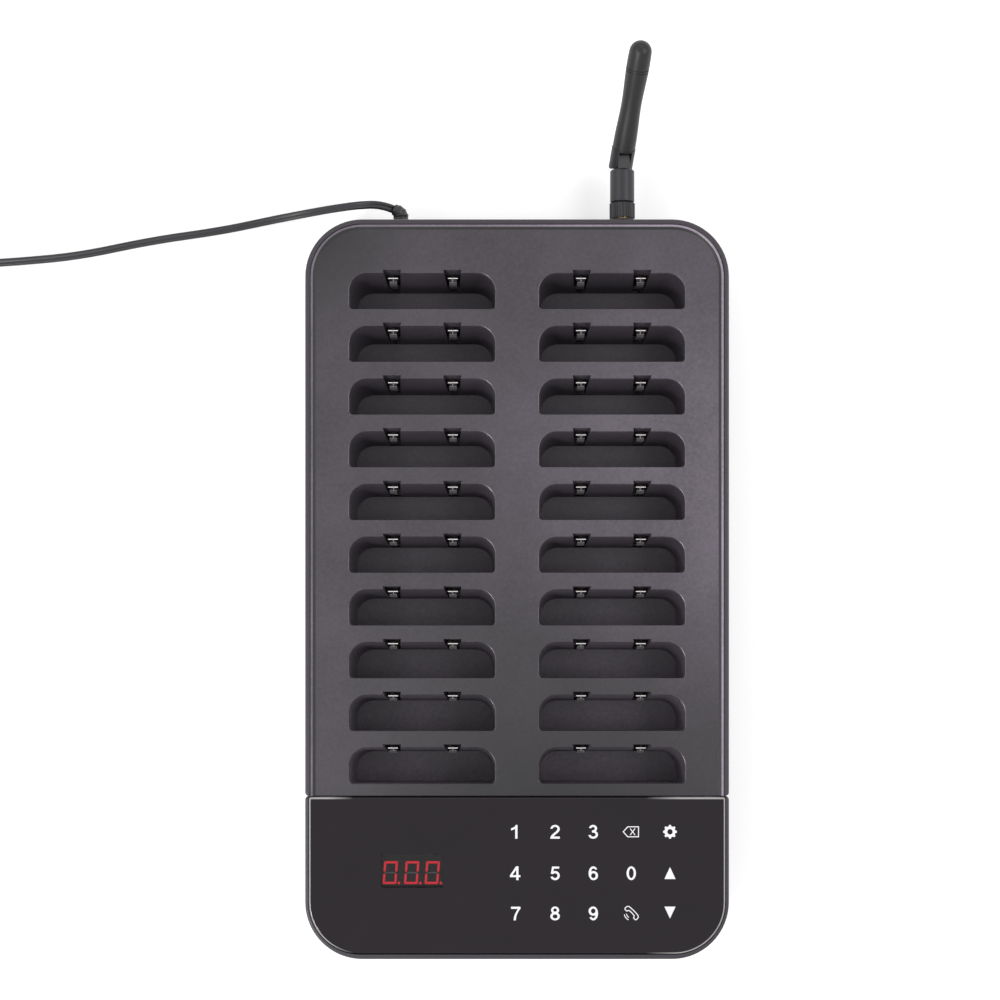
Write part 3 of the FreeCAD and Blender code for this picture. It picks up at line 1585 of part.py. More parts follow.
def lead_plug():
    """The moulded plug: a barrel in the socket, and a ribbed body that bends to the left."""
    bend = float(d.plug_bend_radius)
    straight = float(d.plug_collar_length)
    angle = math.radians(float(d.plug_bend_angle))
    arc_length = bend * angle
    start = Vector(float(d.inlet_place), float(plug_start), float(d.inlet_height))
    centre = start + Vector(-bend, straight, 0)

    def frame(distance):
        """The place and heading at a distance along the body."""
        if distance <= straight:
            return start + Vector(0, distance, 0), Vector(0, 1, 0)
        turned_by = min((distance - straight) / bend, angle)
        heading = Vector(-math.sin(turned_by), math.cos(turned_by), 0)
        place = centre + Vector(bend * math.cos(turned_by), bend * math.sin(turned_by), 0)
        return place + heading * max(0.0, distance - straight - arc_length), heading

    full, nose = float(d.plug_body_radius), float(d.plug_nose_radius)
    total = straight + arc_length + float(d.plug_nose_length)
    count = int(d.plug_rib_count)
    stations = [(*frame(0.0), full)]
    first_rib = straight * PLUG_PLAIN_SHARE
    pitch = (total - first_rib) / count
    for rib in range(count):
        low = first_rib + rib * pitch
        taper = full + (nose - full) * (rib / count) ** 2
        stations.append((*frame(low), taper))
        stations.append((*frame(low + pitch * RIB_SHARE), taper - float(d.plug_rib_height)))
        stations.append((*frame(low + pitch * 2 * RIB_SHARE), taper - float(d.plug_rib_height)))
    stations.append((*frame(total), nose))
    body = ribbed(stations)
    barrel_low = float(plug_start) - float(d.plug_barrel_length)
    barrel = Part.makeCylinder(
        float(d.plug_barrel_radius),
        float(d.plug_barrel_length) + straight / 2,
        Vector(start.x, barrel_low, start.z),
        Vector(0, 1, 0),
    )
    bore = Part.makeCylinder(
        float(d.plug_bore_radius),
        float(d.plug_barrel_length),
        Vector(start.x, barrel_low, start.z),
        Vector(0, 1, 0),
    )
    shape_piece("lead_plug", body.fuse(barrel).cut(bore))
    return frame(total)


# The lead

def rounded_path(points, name):
    """Straight runs joined by tangent arcs, each arc as large as its two runs allow."""
    edges = []
    radii = []
    here = points[0]
    for before, corner, after in zip(points, points[1:], points[2:]):
        back, ahead = before - corner, after - corner
        turn = math.pi - back.getAngle(ahead)
        if turn < SAME:
            raise ValueError(f"{name}: three points in line")
        setback = BEND_SHARE * min(back.Length, ahead.Length)
        radii.append(setback / math.tan(turn / 2))
        back.normalize()
        ahead.normalize()
        entry, leave = corner + back * setback, corner + ahead * setback
        middle = (back + ahead).normalize()
        depth = radii[-1] / math.cos(turn / 2) - radii[-1]
        edges.append(Part.LineSegment(here, entry).toShape())
        edges.append(Part.Arc(entry, corner + middle * depth, leave).toShape())
        here = leave
    edges.append(Part.LineSegment(here, points[-1]).toShape())
    print(f"{name}: radii", " ".join(f"{radius:.1f}" for radius in radii))
    return Part.Wire(edges)


def flat_section(place, heading, width, thickness):
    """A flat lead's outline, square to its heading: two sides and two round edges."""
    side = heading.cross(Vector(0, 0, 1)).normalize()
    up = side.cross(heading)
    half = float(thickness) / 2
    reach = float(width) / 2 - half

    def point(across, rise):
        return place + side * across + up * rise

    edges = [
        Part.LineSegment(point(-reach, -half), point(reach, -half)),
        Part.Arc(point(reach, -half), point(reach + half, 0), point(reach, half)),
        Part.LineSegment(point(reach, half), point(-reach, half)),
        Part.Arc(point(-reach, half), point(-reach - half, 0), point(-reach, -half)),
    ]
    return Part.Wire([edge.toShape() for edge in edges])


def sweep(path, section, name, area):
    """A solid of a section along a path, whose volume is set against its section times its length."""
    solid = path.makePipeShell([section], True, False)
    expected = area * path.Length
    print(f"{name}: length {path.Length:.1f}, volume {solid.Volume:.1f} of {expected:.1f}")
    return solid


def lead_area():
    """The area of the flat lead's section."""
    half = float(d.lead_thickness) / 2
    return math.pi * half * half + (float(d.lead_width) - 2 * half) * 2 * half


def end_section(solid, place):
    """The outline of the lead's end face at a place."""

    def reach(face):
        return max(corner.Point.distanceToPoint(place) for corner in face.Vertexes)

    return min(solid.Faces, key=reach).OuterWire


# The free stretch between its first bend after the plug and its last before the coil: down to the standing
# surface and off to the left, as the photograph shows it and then on in the same line
LEAD_ROUTE = [
    (-65.5, 158.5, 16.2),
    (-77.5, 158.0, 9.6),
    (-90.0, 156.9, 3.6),
    (-103.5, 154.8, 1.05),
    (-125.0, 150.2, 1.05),
    (-155.0, 146.0, 1.05),
    (-185.0, 139.6, 1.05),
    (-210.0, 137.2, 1.3),
]
# The tail's bend between the coil and the adapter's strain relief
TAIL_ROUTE = [
    (-268.0, 82.0, 7.9),
]
COIL_CENTRE = Vector(-249.0, 113.0, 1.79)


def coil_point(turn):
    """A point of the coil's line: it spirals in and out, and climbs a layer where the spiral turns back."""
    layer_turns = float(d.coil_turns) / float(d.coil_layers)
    layer = min(int(turn / layer_turns), int(d.coil_layers) - 1)
    within = turn / layer_turns - layer
    swing = float(d.coil_step) * layer_turns / 2
    side = 1 - 2 * within if layer % 2 == 0 else 2 * within - 1
    radius = float(d.coil_middle_radius) + swing * side
    height = 0.0
    for climb in range(1, int(d.coil_layers)):
        progress = (turn - climb * layer_turns + CLIMB_SHARE) / (2 * CLIMB_SHARE)
        progress = min(1.0, max(0.0, progress))
        height += progress * progress * (3 - 2 * progress) * float(d.coil_layer_step)
    angle = math.pi / 2 + 2 * math.pi * turn
    return COIL_CENTRE + Vector(radius * math.cos(angle), radius * math.sin(angle), height)


def coil_heading(turn):
    """The coil's direction at a point, flat and square at its two ends."""
    step = HEADING_STEP_SHARE
    if turn < step or turn > float(d.coil_turns) - step:
        angle = math.pi + 2 * math.pi * turn
        return Vector(math.cos(angle), math.sin(angle), 0)
    return (coil_point(turn + step) - coil_point(turn - step)).normalize()


def biarc(start, start_heading, stop, stop_heading):
    """Two tangent arcs from one point and heading to another."""
    span = stop - start
    total = start_heading + stop_heading
    slack = 2 * (1 - start_heading.dot(stop_heading))
    along = span.dot(total)
    reach = (-along + math.sqrt(along * along + slack * span.dot(span))) / slack
    first, second = start + start_heading * reach, stop - stop_heading * reach
    joint = (first + second) * 0.5
    arcs = []
    for low, apex, high in ((start, first, joint), (joint, second, stop)):
        middle = (low + high) * 0.5
        half_angle = math.asin((high - low).Length / 2 / reach)
        rise = reach * (1 - math.sin(half_angle)) / math.cos(half_angle)
        inward = (middle - apex).normalize()
        arcs.append(Part.Arc(low, apex + inward * rise, high).toShape())
    return arcs


def coil_turn_marks():
    """The turns at which the coil's biarcs meet: about a quarter turn apart, with a mark at each climb."""
    layer_turns = float(d.coil_turns) / float(d.coil_layers)
    stops = [0.0]
    for climb in range(1, int(d.coil_layers)):
        middle = climb * layer_turns
        stops += [middle - CLIMB_SHARE, middle, middle + CLIMB_SHARE]
    stops.append(float(d.coil_turns))
    marks = [0.0]
    for low, high in zip(stops, stops[1:]):
        steps = max(1, round((high - low) * TURN_PARTS))
        marks += [low + (high - low) * step / steps for step in range(1, steps + 1)]
    return marks


def coil_gap(points):
    """The least gap of the flat lead to itself, measured on points along the coil."""
    least = math.inf
    flat = float(d.lead_width) - float(d.lead_thickness)
    skip = int(len(points) * NEXT_TURN_SHARE / float(d.coil_turns))
    for index, here in enumerate(points):
        for other in points[index + skip:]:
            aside = math.hypot(here.x - other.x, here.y - other.y)
            rise = here.z - other.z
            least = min(least, math.hypot(max(0.0, aside - flat), rise) - float(d.lead_thickness))
    return least


def lead():
    """The lead: its free stretch, its put-away coil, the tail to the adapter, and the coil's tie."""
    nose, heading = lead_plug()
    straight = float(d.lead_width)
    start, stop = coil_point(0.0), coil_point(float(d.coil_turns))
    start_heading, stop_heading = coil_heading(0.0), coil_heading(float(d.coil_turns))
    before, after = start - start_heading * straight, stop + stop_heading * straight

    route = [nose, nose + heading * float(d.lead_first_run)] + [Vector(*place) for place in LEAD_ROUTE]
    route += [before - start_heading * float(d.lead_last_run), before]
    section = flat_section(nose, heading, d.lead_width, d.lead_thickness)
    cord = sweep(rounded_path(route, "lead_cord"), section, "lead_cord", lead_area())
    shape_piece("lead_cord", cord)

    marks = coil_turn_marks()
    edges = [Part.LineSegment(before, start).toShape()]
    for low, high in zip(marks, marks[1:]):
        edges += biarc(coil_point(low), coil_heading(low), coil_point(high), coil_heading(high))
    edges.append(Part.LineSegment(stop, after).toShape())
    points = [point for edge in edges[1:-1] for point in edge.discretize(COIL_TEST_POINTS)[:-1]]
    print(f"lead_coil: least gap to itself {coil_gap(points):.2f}")
    coil = sweep(Part.Wire(edges), end_section(cord, before), "lead_coil", lead_area())
    shape_piece("lead_coil", coil)

    relief_tip = vector(d.adapter_place, d.adapter_rear + d.relief_length, d.adapter_lead_height)
    last = relief_tip + Vector(0, float(d.relief_length) * TAIL_SHARE, 0)
    tail = [after, after + stop_heading * float(d.tail_first_run)]
    tail += [Vector(*place) for place in TAIL_ROUTE] + [last, relief_tip]
    section = end_section(coil, after)
    shape_piece("lead_tail", sweep(rounded_path(tail, "lead_tail"), section, "lead_tail", lead_area()))

    swing = float(d.coil_step * d.coil_turns / d.coil_layers + d.lead_width) / 2 + float(d.tie_clearance)
    thick = float(d.tie_thickness)
    near, far = float(d.coil_middle_radius) - swing, float(d.coil_middle_radius) + swing
    high = COIL_CENTRE.z + float(d.coil_layer_step) * (float(d.coil_layers) - 1)
    high += float(d.lead_thickness) / 2 + float(d.tie_clearance)
    corner = COIL_CENTRE + Vector(near - thick, -float(d.tie_width) / 2, -COIL_CENTRE.z)
    outer = Part.makeBox(far - near + 2 * thick, float(d.tie_width), high + thick, corner)
    inner_corner = corner + Vector(thick, -thick, thick)
    inner = Part.makeBox(far - near, 2 * float(d.tie_width), high - thick, inner_corner)
    shape_piece("lead_tie", outer.cut(inner))


# The plug-in power adapter

def adapter_outline(sketch, inset):
    """The adapter's outline, moved inwards."""
    inset = as_size(inset)
    reach = d.adapter_width / 2 - inset
    corner = d.adapter_corner_radius - inset
    low, high = d.adapter_rear - d.adapter_length + inset, d.adapter_rear - inset
    left, right = d.adapter_place - reach, d.adapter_place + reach
    places = [(left, low), (right, low), (right, high), (left, high)]
    outline(sketch, [(*place, corner) for place in places])


def adapter():
    """The adapter: its two half shells, its blades, its board, and the ribbed relief of the lead."""
    body = new_body("AdapterCase")
    base = sketch_on(body, "AdapterOutline")
    adapter_outline(base, 0)
    pad(body, "AdapterBlock", base, d.adapter_parting - d.adapter_groove_height)
    rim = sketch_on(body, "AdapterRim", offset=d.adapter_parting - d.adapter_groove_height)
    adapter_outline(rim, d.adapter_groove_depth)
    pad(body, "AdapterRimPad", rim, d.adapter_groove_height)
    inside = sketch_on(body, "AdapterInside", offset=d.adapter_parting)
    adapter_outline(inside, d.adapter_wall)
    pocket(body, "AdapterHollow", inside, d.adapter_parting - d.adapter_wall)
    post_reach = d.adapter_width * ADAPTER_POST_SHARE
    post_places = [
        (d.adapter_place + hand * post_reach, d.adapter_rear - d.adapter_length * share)
        for hand in (-1, 1)
        for share in (ADAPTER_POST_SHARE, 1 - ADAPTER_POST_SHARE)
    ]
    post_start = d.adapter_wall / 2
    posts(body, "AdapterPosts", post_places, d.board_post_radius, post_start, d.adapter_board_height)
    hole = sketch_on(body, "LeadHole", role="XZ_Plane", offset=-d.adapter_rear)
    circle(hole, d.adapter_place, d.adapter_lead_height, d.relief_neck_radius + d.spigot_clearance)
    pocket(body, "LeadHoleCut", hole, d.adapter_wall + d.overrun, back=True)
    round_edges(body, "AdapterEdges", d.adapter_edge_radius, lambda edge: level(edge, 0))
    finish(body, "adapter_case")

    cover_low = d.adapter_parting
    body = new_body("AdapterCover")
    base = sketch_on(body, "CoverOutline", offset=cover_low)
    adapter_outline(base, 0)
    pad(body, "CoverBlock", base, d.adapter_height - cover_low)
    inside = sketch_on(body, "CoverInside", offset=cover_low)
    adapter_outline(inside, d.adapter_wall)
    pocket(body, "CoverHollow", inside, d.adapter_height - d.adapter_wall - cover_low, back=True)
    round_edges(body, "CoverEdges", d.adapter_edge_radius, lambda edge: level(edge, d.adapter_height))
    slots = sketch_on(body, "BladeSlots", offset=d.adapter_height)
    blade_along = d.adapter_rear - d.adapter_length + d.blade_setback
    half_width_blade, half_thick = d.blade_width / 2, d.blade_thickness / 2
    blade_centres = [d.adapter_place + hand * d.blade_spacing / 2 for hand in (-1, 1)]
    for centre in blade_centres:
        near, far = blade_along - half_width_blade, blade_along + half_width_blade
        rectangle(slots, centre - half_thick, centre + half_thick, near, far)
    pocket(body, "BladeSlotCut", slots, d.adapter_wall + d.overrun)
    finish(body, "adapter_cover")

    blades = []
    for number, centre in enumerate(blade_centres, start=1):
        body = new_body(f"Blade{number}")
        side = sketch_on(body, f"BladeSide{number}", role="YZ_Plane", offset=centre)
        low, high = d.adapter_height - d.adapter_wall - d.overrun, d.adapter_height + d.blade_length
        near, far = blade_along - half_width_blade, blade_along + half_width_blade
        tip = d.blade_tip_chamfer
        outline(
            side,
            [
                (near, low),
                (far, low),
                (far, high - tip),
                (far - tip, high),
                (near + tip, high),
                (near, high - tip),
            ],
        )
        circle(side, blade_along, high - d.blade_hole_setback, d.blade_hole_radius)
        pad(body, f"BladePad{number}", side, d.blade_thickness, both=True)
        blades.append(body)
    group = doc.addObject("Part::Compound", "AdapterBlades")
    group.Links = blades
    finish(group, "adapter_blades")

    reach = d.adapter_width * ADAPTER_BOARD_SHARE
    extent = d.adapter_length * ADAPTER_BOARD_SHARE
    front = d.adapter_rear - d.adapter_length / 2 - extent
    low = (d.adapter_place - reach, front, d.adapter_board_height)
    plate = block("AdapterPlate", low, (2 * reach, 2 * extent, d.adapter_board_thickness))
    top = d.adapter_board_height + d.adapter_board_thickness
    rise = d.adapter_height * CORE_SHARE
    core = block(
        "AdapterCore",
        (d.adapter_place - reach / 2, front + reach / 2, top),
        (reach, reach * CORE_LENGTH_SHARE, rise),
    )
    tank_base = (d.adapter_place, front + reach * TANK_PLACE_SHARE, top)
    tank = rod("AdapterTank", tank_base, reach / 3, rise)
    finish(fuse("AdapterBoard", [plate, core, tank]), "adapter_board")

    start = vector(d.adapter_place, d.adapter_rear, d.adapter_lead_height)
    heading = Vector(0, 1, 0)
    neck, root, tip = vector(d.relief_neck_radius, d.relief_base_radius, d.relief_tip_radius)
    wall = float(d.adapter_wall)
    stations = [
        (start - heading * 2 * wall, heading, root),
        (start - heading * wall, heading, root),
    ]
    flange = ribbed(stations)
    middle = ribbed([(start - heading * wall, heading, neck), (start, heading, neck)])
    count = int(d.relief_rib_count)
    length = float(d.relief_length)
    stations = []
    for rib in range(count):
        radius = root + (tip - root) * rib / count
        for share, drop in RELIEF_SHARES:
            place = start + heading * (length * (rib + share) / count)
            stations.append((place, heading, radius - drop * float(d.relief_rib_depth)))
    stations.append((start + heading * length, heading, tip))
    shape_piece("adapter_relief", flange.fuse(middle).fuse(ribbed(stations)).removeSplitter())


# Parts on the boards, and the wiring between them

def board_parts():
    """The parts on the main board, the radio module and the buzzer."""
    wide, long, thick = d.main_board_width, d.main_board_length, d.board_thickness
    parts = []
    for number, (across, along, width, length, height) in enumerate(CHIP_SHARES):
        low = (wide * across, main_board_front + long * along, main_board_top)
        parts.append(block(f"Chip{number}", low, (wide * width, long * length, thick * height)))
    for number, (across, along, radius, height) in enumerate(TANK_SHARES):
        base = (wide * across, main_board_front + long * along, main_board_top)
        parts.append(rod(f"Tank{number}", base, wide * radius, thick * height))
    group = doc.addObject("Part::Compound", "MainBoardParts")
    group.Links = parts
    finish(group, "main_board_parts")

    across, along, width, length, height = RADIO_SHARES
    low = (wide * across, main_board_front + long * along, main_board_top)
    finish(block("RadioModule", low, (wide * width, long * length, thick * height)), "radio_module")
    across, along, radius, height = BUZZER_SHARES
    base = (wide * across, main_board_front + long * along, main_board_top)
    outer = rod("BuzzerCan", base, wide * radius, thick * height)
    mouth_base = (base[0], base[1], main_board_top + thick * height / 2)
    mouth = rod("BuzzerMouth", mouth_base, wide * radius / 5, thick * height)
    finish(cut("Buzzer", outer, mouth), "buzzer")


def round_wire(points, radius, name):
    """A round wire along a rounded path."""
    path = rounded_path(points, name)
    heading = (points[1] - points[0]).normalize()
    section = ring_wire(points[0], heading, radius)
    return sweep(path, section, name, math.pi * float(radius) ** 2)


def wiring():
    """The aerial's coaxial cable, the supply and link wires, and the ribbon between the boards."""
    back = wall_face - d.shell_wall - d.jack_length_inside
    cup_back = first_row + d.slot_breadth / 2 + d.notch_reach + d.channel_wall
    aisle = cup_back + d.coax_radius * 2
    low = inner_floor + d.wire_radius * 2
    across, along, width, length, height = RADIO_SHARES
    radio_rear = main_board_front + d.main_board_length * (along + length)
    radio_across = d.main_board_width * (across + width / 2)
    plug_height = main_board_top + d.board_thickness * PLUG_HEIGHT_SHARE
    step_down = main_board_rear + d.main_board_setback
    coax = [
        vector(d.antenna_place, back, d.antenna_height),
        vector(d.antenna_place, aisle, d.antenna_height),
        vector((d.antenna_place + radio_across) / 2, aisle, (d.antenna_height + pocket_floor) / 2),
        vector(radio_across, aisle, cup_under),
        vector(radio_across, first_row, low),
        vector(radio_across, step_down, low),
        vector(radio_across, main_board_rear, plug_height),
        vector(radio_across, radio_rear, plug_height),
    ]
    shape_piece("coax_cable", round_wire(coax, d.coax_radius, "coax_cable"))

    wires = []
    across, along, width, length, height = CHIP_SHARES[SUPPLY_SOCKET]
    socket_rear = main_board_front + d.main_board_length * (along + length)
    tag_side = d.inlet_place + (d.inlet_tag_width + d.wire_radius) / 2
    tag_middle = inlet_back - d.inlet_tag_length / 2
    for hand, share in zip((1, -1), WIRE_SHARES):
        lane = d.main_board_width * (across + width * share)
        tag = d.inlet_height + hand * d.inlet_tag_spacing / 2
        points = [
            vector(tag_side, tag_middle, tag),
            vector((d.inlet_place + lane) / 2, (tag_middle + aisle) / 2, (tag + pocket_floor) / 2),
            vector(lane, aisle, cup_under + (1 + hand) * d.wire_radius * 2),
            vector(lane, first_row, low),
            vector(lane, step_down, low),
            vector(lane, main_board_rear, plug_height),
            vector(lane, socket_rear, plug_height),
        ]
        wires.append(round_wire(points, d.wire_radius, f"supply wire {hand}"))
    board_front = last_row - d.charging_board_margin
    under = (inner_floor + d.charging_board_height) / 2
    for socket in LINK_SOCKETS:
        across, along, width, length, height = CHIP_SHARES[socket]
        socket_rear = main_board_front + d.main_board_length * (along + length)
        for share in WIRE_SHARES:
            lane = d.main_board_width * (across + width * share)
            points = [
                vector(lane, board_front + d.charging_board_margin, under),
                vector(lane, (board_front + step_down) / 2, under),
                vector(lane, main_board_rear, plug_height),
                vector(lane, socket_rear, plug_height),
            ]
            wires.append(round_wire(points, d.wire_radius, f"link wire {socket} {share}"))
    shape_piece("inner_wires", Part.makeCompound(wires))

    across, along, width, length, height = CHIP_SHARES[RIBBON_SOCKET]
    centre = d.main_board_width * (across + width / 2)
    lane = main_board_front + d.main_board_length * (along + length / 2)
    foot = main_board_top + d.board_thickness * height
    gap = touch_board_under - foot
    points = [vector(centre, lane + gap * aside, foot + gap * up) for aside, up in RIBBON_SHARES]
    half, thin = float(d.ribbon_width) / 2, float(d.ribbon_thickness) / 2
    places = [(-half, -thin), (half, -thin), (half, thin), (-half, thin), (-half, -thin)]
    section = Part.makePolygon([points[0] + vector(*place, 0) for place in places])
    path = rounded_path(points, "ribbon_cable")
    shape_piece("ribbon_cable", sweep(path, section, "ribbon_cable", 4 * half * thin))


bottom_case()
rear_housing()
keypad_housing()
keypad_panel()
display()
boards()
board_parts()
key_pads()
contacts()
screws()
rubber_feet()
antenna_mount()
antenna()
power_inlet()
lead()
adapter()
wiring()
charging_deck()
doc.recompute()

for item in doc.Objects:
    if "Invalid" in item.State or "Error" in item.State:
        raise RuntimeError(f"{item.Name}: {item.getStatusString()}")
for piece in finished:
    if piece.Shape.isNull() or not piece.Shape.isValid():
        raise RuntimeError(f"{piece.Label}: no valid shape")
for piece in finished:
    piece.Shape.exportStep(f"parts/{piece.Label}.step")
print(f"{len(finished)} pieces")
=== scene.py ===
import json
import math

import bmesh
import bpy
from mathutils import Matrix, Vector

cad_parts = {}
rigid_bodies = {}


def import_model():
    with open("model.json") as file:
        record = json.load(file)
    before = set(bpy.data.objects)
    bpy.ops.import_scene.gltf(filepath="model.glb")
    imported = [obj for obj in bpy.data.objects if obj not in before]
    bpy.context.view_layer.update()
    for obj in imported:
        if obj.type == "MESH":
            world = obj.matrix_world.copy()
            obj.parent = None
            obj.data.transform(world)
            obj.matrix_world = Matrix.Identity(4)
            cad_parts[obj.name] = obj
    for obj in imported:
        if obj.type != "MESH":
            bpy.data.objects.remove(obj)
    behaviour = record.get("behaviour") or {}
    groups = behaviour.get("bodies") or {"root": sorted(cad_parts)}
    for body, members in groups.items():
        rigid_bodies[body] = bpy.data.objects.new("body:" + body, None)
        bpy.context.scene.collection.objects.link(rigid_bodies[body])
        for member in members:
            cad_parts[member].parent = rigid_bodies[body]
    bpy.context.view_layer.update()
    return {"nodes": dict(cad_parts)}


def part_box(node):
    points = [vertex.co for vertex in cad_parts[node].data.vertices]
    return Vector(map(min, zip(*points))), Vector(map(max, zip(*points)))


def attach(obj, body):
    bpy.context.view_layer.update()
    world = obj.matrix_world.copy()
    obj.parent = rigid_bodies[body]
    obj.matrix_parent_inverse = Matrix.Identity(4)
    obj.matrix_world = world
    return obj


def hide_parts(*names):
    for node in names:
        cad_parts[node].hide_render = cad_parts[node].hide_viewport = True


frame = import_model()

mm = 0.001
nodes = frame["nodes"]
print("frame loaded:", len(nodes), "nodes")


# the camera looks straight down from over the middle of the slots

topCamera = {
    "place": (-6.9 * mm, 36.0 * mm, 706.0 * mm),
    "lens": 59.8,
    "sensor": 36.0,
    "near": 0.01,
    "far": 20.0,
}


def placeCamera(settings):
    lensData = bpy.data.cameras.new("topCamera")
    lensData.lens = settings["lens"]
    lensData.sensor_width = settings["sensor"]
    lensData.clip_start = settings["near"]
    lensData.clip_end = settings["far"]
    camera = bpy.data.objects.new("topCamera", lensData)
    camera.location = settings["place"]
    bpy.context.scene.collection.objects.link(camera)
    bpy.context.scene.camera = camera


placeCamera(topCamera)
print("camera placed")


# small helpers for modelling

def deselectAll():
    for thing in bpy.context.view_layer.objects:
        thing.select_set(False)


def makeActive(piece):
    deselectAll()
    piece.select_set(True)
    bpy.context.view_layer.objects.active = piece


def settle(piece):
    # leaves the object at the origin, with its place in its mesh
    makeActive(piece)
    bpy.ops.object.transform_apply(location=True, rotation=True, scale=True)


def addPiece(name, mesh, body, finish):
    piece = bpy.data.objects.new(name, mesh)
    bpy.context.scene.collection.objects.link(piece)
    dress(piece, finish)
    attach(piece, body)
    return piece


def dress(piece, finish):
    piece.data.materials.clear()
    piece.data.materials.append(finish)


# shader node groups that several materials share

def startGroup(name, inputs, outputs):
    group = bpy.data.node_groups.new(name, "ShaderNodeTree")
    for socketName, kind, value in inputs:
        socket = group.interface.new_socket(name=socketName, in_out="INPUT", socket_type=kind)
        socket.default_value = value
    for socketName, kind in outputs:
        group.interface.new_socket(name=socketName, in_out="OUTPUT", socket_type=kind)
    entry = group.nodes.new("NodeGroupInput")
    leave = group.nodes.new("NodeGroupOutput")
    return group, entry, leave


def feed(tree, socket, value):
    # a number or a colour is set on the socket, and an output is linked to it
    if isinstance(value, (int, float, tuple)):
        socket.default_value = value
    else:
        tree.links.new(value, socket)


def mathNode(tree, operation, *values):
    node = tree.nodes.new("ShaderNodeMath")
    node.operation = operation
    for socket, value in zip(node.inputs, values):
        feed(tree, socket, value)
    return node.outputs[0]


def noiseNode(tree, coordinates, scale, detail, roughness):
    node = tree.nodes.new("ShaderNodeTexNoise")
    tree.links.new(coordinates, node.inputs["Vector"])
    for name, value in (("Scale", scale), ("Detail", detail), ("Roughness", roughness)):
        feed(tree, node.inputs[name], value)
    return node.outputs["Fac"]


def rangeNode(tree, value, fromLow, fromHigh, toLow, toHigh, smooth=False):
    node = tree.nodes.new("ShaderNodeMapRange")
    if smooth:
        node.interpolation_type = "SMOOTHSTEP"
    tree.links.new(value, node.inputs["Value"])
    names = ("From Min", "From Max", "To Min", "To Max")
    for name, number in zip(names, (fromLow, fromHigh, toLow, toHigh)):
        feed(tree, node.inputs[name], number)
    return node.outputs["Result"]


def mixColour(tree, factor, low, high):
    node = tree.nodes.new("ShaderNodeMix")
    node.data_type = "RGBA"
    tree.links.new(factor, node.inputs["Factor"])
    for name, value in (("A", low), ("B", high)):
        socket = next(item for item in node.inputs if item.name == name and item.type == "RGBA")
        feed(tree, socket, value)
    return next(item for item in node.outputs if item.type == "RGBA")


def scaleColour(tree, colour, share):
    node = tree.nodes.new("ShaderNodeVectorMath")
    node.operation = "SCALE"
    tree.links.new(colour, node.inputs[0])
    tree.links.new(share, node.inputs["Scale"])
    return node.outputs[0]


def split(tree, place):
    # the X, Y and Z of a place
    parts = tree.nodes.new("ShaderNodeSeparateXYZ")
    tree.links.new(place, parts.inputs[0])
    return parts.outputs


def onObject(tree):
    return tree.nodes.new("ShaderNodeTexCoord").outputs["Object"]


def inMetres(sizes):
    return [size * mm for size in sizes]


grainDetail = {
    "slowScale": 22.0,
    "slowShare": 0.55,
    "speckScale": 0.45,
    "speckShare": 0.45,
    "glossChange": 0.12,
}


def buildGrain():
    # moulded plastic: a fine spark-eroded grain, with slow changes of tone and gloss
    group, entry, leave = startGroup(
        "mouldedGrain",
        [
            ("Tone", "NodeSocketColor", (0.1, 0.1, 0.1, 1)),
            ("Tone Change", "NodeSocketFloat", 0.1),
            ("Roughness", "NodeSocketFloat", 0.5),
            ("Roughness Change", "NodeSocketFloat", 0.1),
            ("Grain Size", "NodeSocketFloat", 1500.0),
        ],
        [("Color", "NodeSocketColor"), ("Roughness", "NodeSocketFloat"), ("Height", "NodeSocketFloat")],
    )
    place = onObject(group)
    size = entry.outputs["Grain Size"]
    fine = noiseNode(group, place, size, 2.0, 0.6)
    slow = noiseNode(group, place, grainDetail["slowScale"], 4.0, 0.6)
    speck = noiseNode(group, place, mathNode(group, "MULTIPLY", size, grainDetail["speckScale"]), 3.0, 0.7)
    both = mathNode(
        group, "ADD",
        mathNode(group, "MULTIPLY", slow, grainDetail["slowShare"]),
        mathNode(group, "MULTIPLY", speck, grainDetail["speckShare"]),
    )
    swing = mathNode(group, "MULTIPLY", mathNode(group, "SUBTRACT", both, 0.5), entry.outputs["Tone Change"])
    lift = mathNode(group, "ADD", mathNode(group, "MULTIPLY", swing, 2.0), 1.0)
    group.links.new(scaleColour(group, entry.outputs["Tone"], lift), leave.inputs["Color"])
    off = mathNode(group, "SUBTRACT", slow, 0.5)
    gloss = mathNode(group, "MULTIPLY", off, entry.outputs["Roughness Change"])
    group.links.new(mathNode(group, "ADD", entry.outputs["Roughness"], gloss), leave.inputs["Roughness"])
    group.links.new(fine, leave.inputs["Height"])
    return group


streakDetail = {
    "scale": 900.0,
    "stretch": (1.0, 0.12, 1.0),
    "blotchScale": 260.0,
    "depth": 0.000004,
}


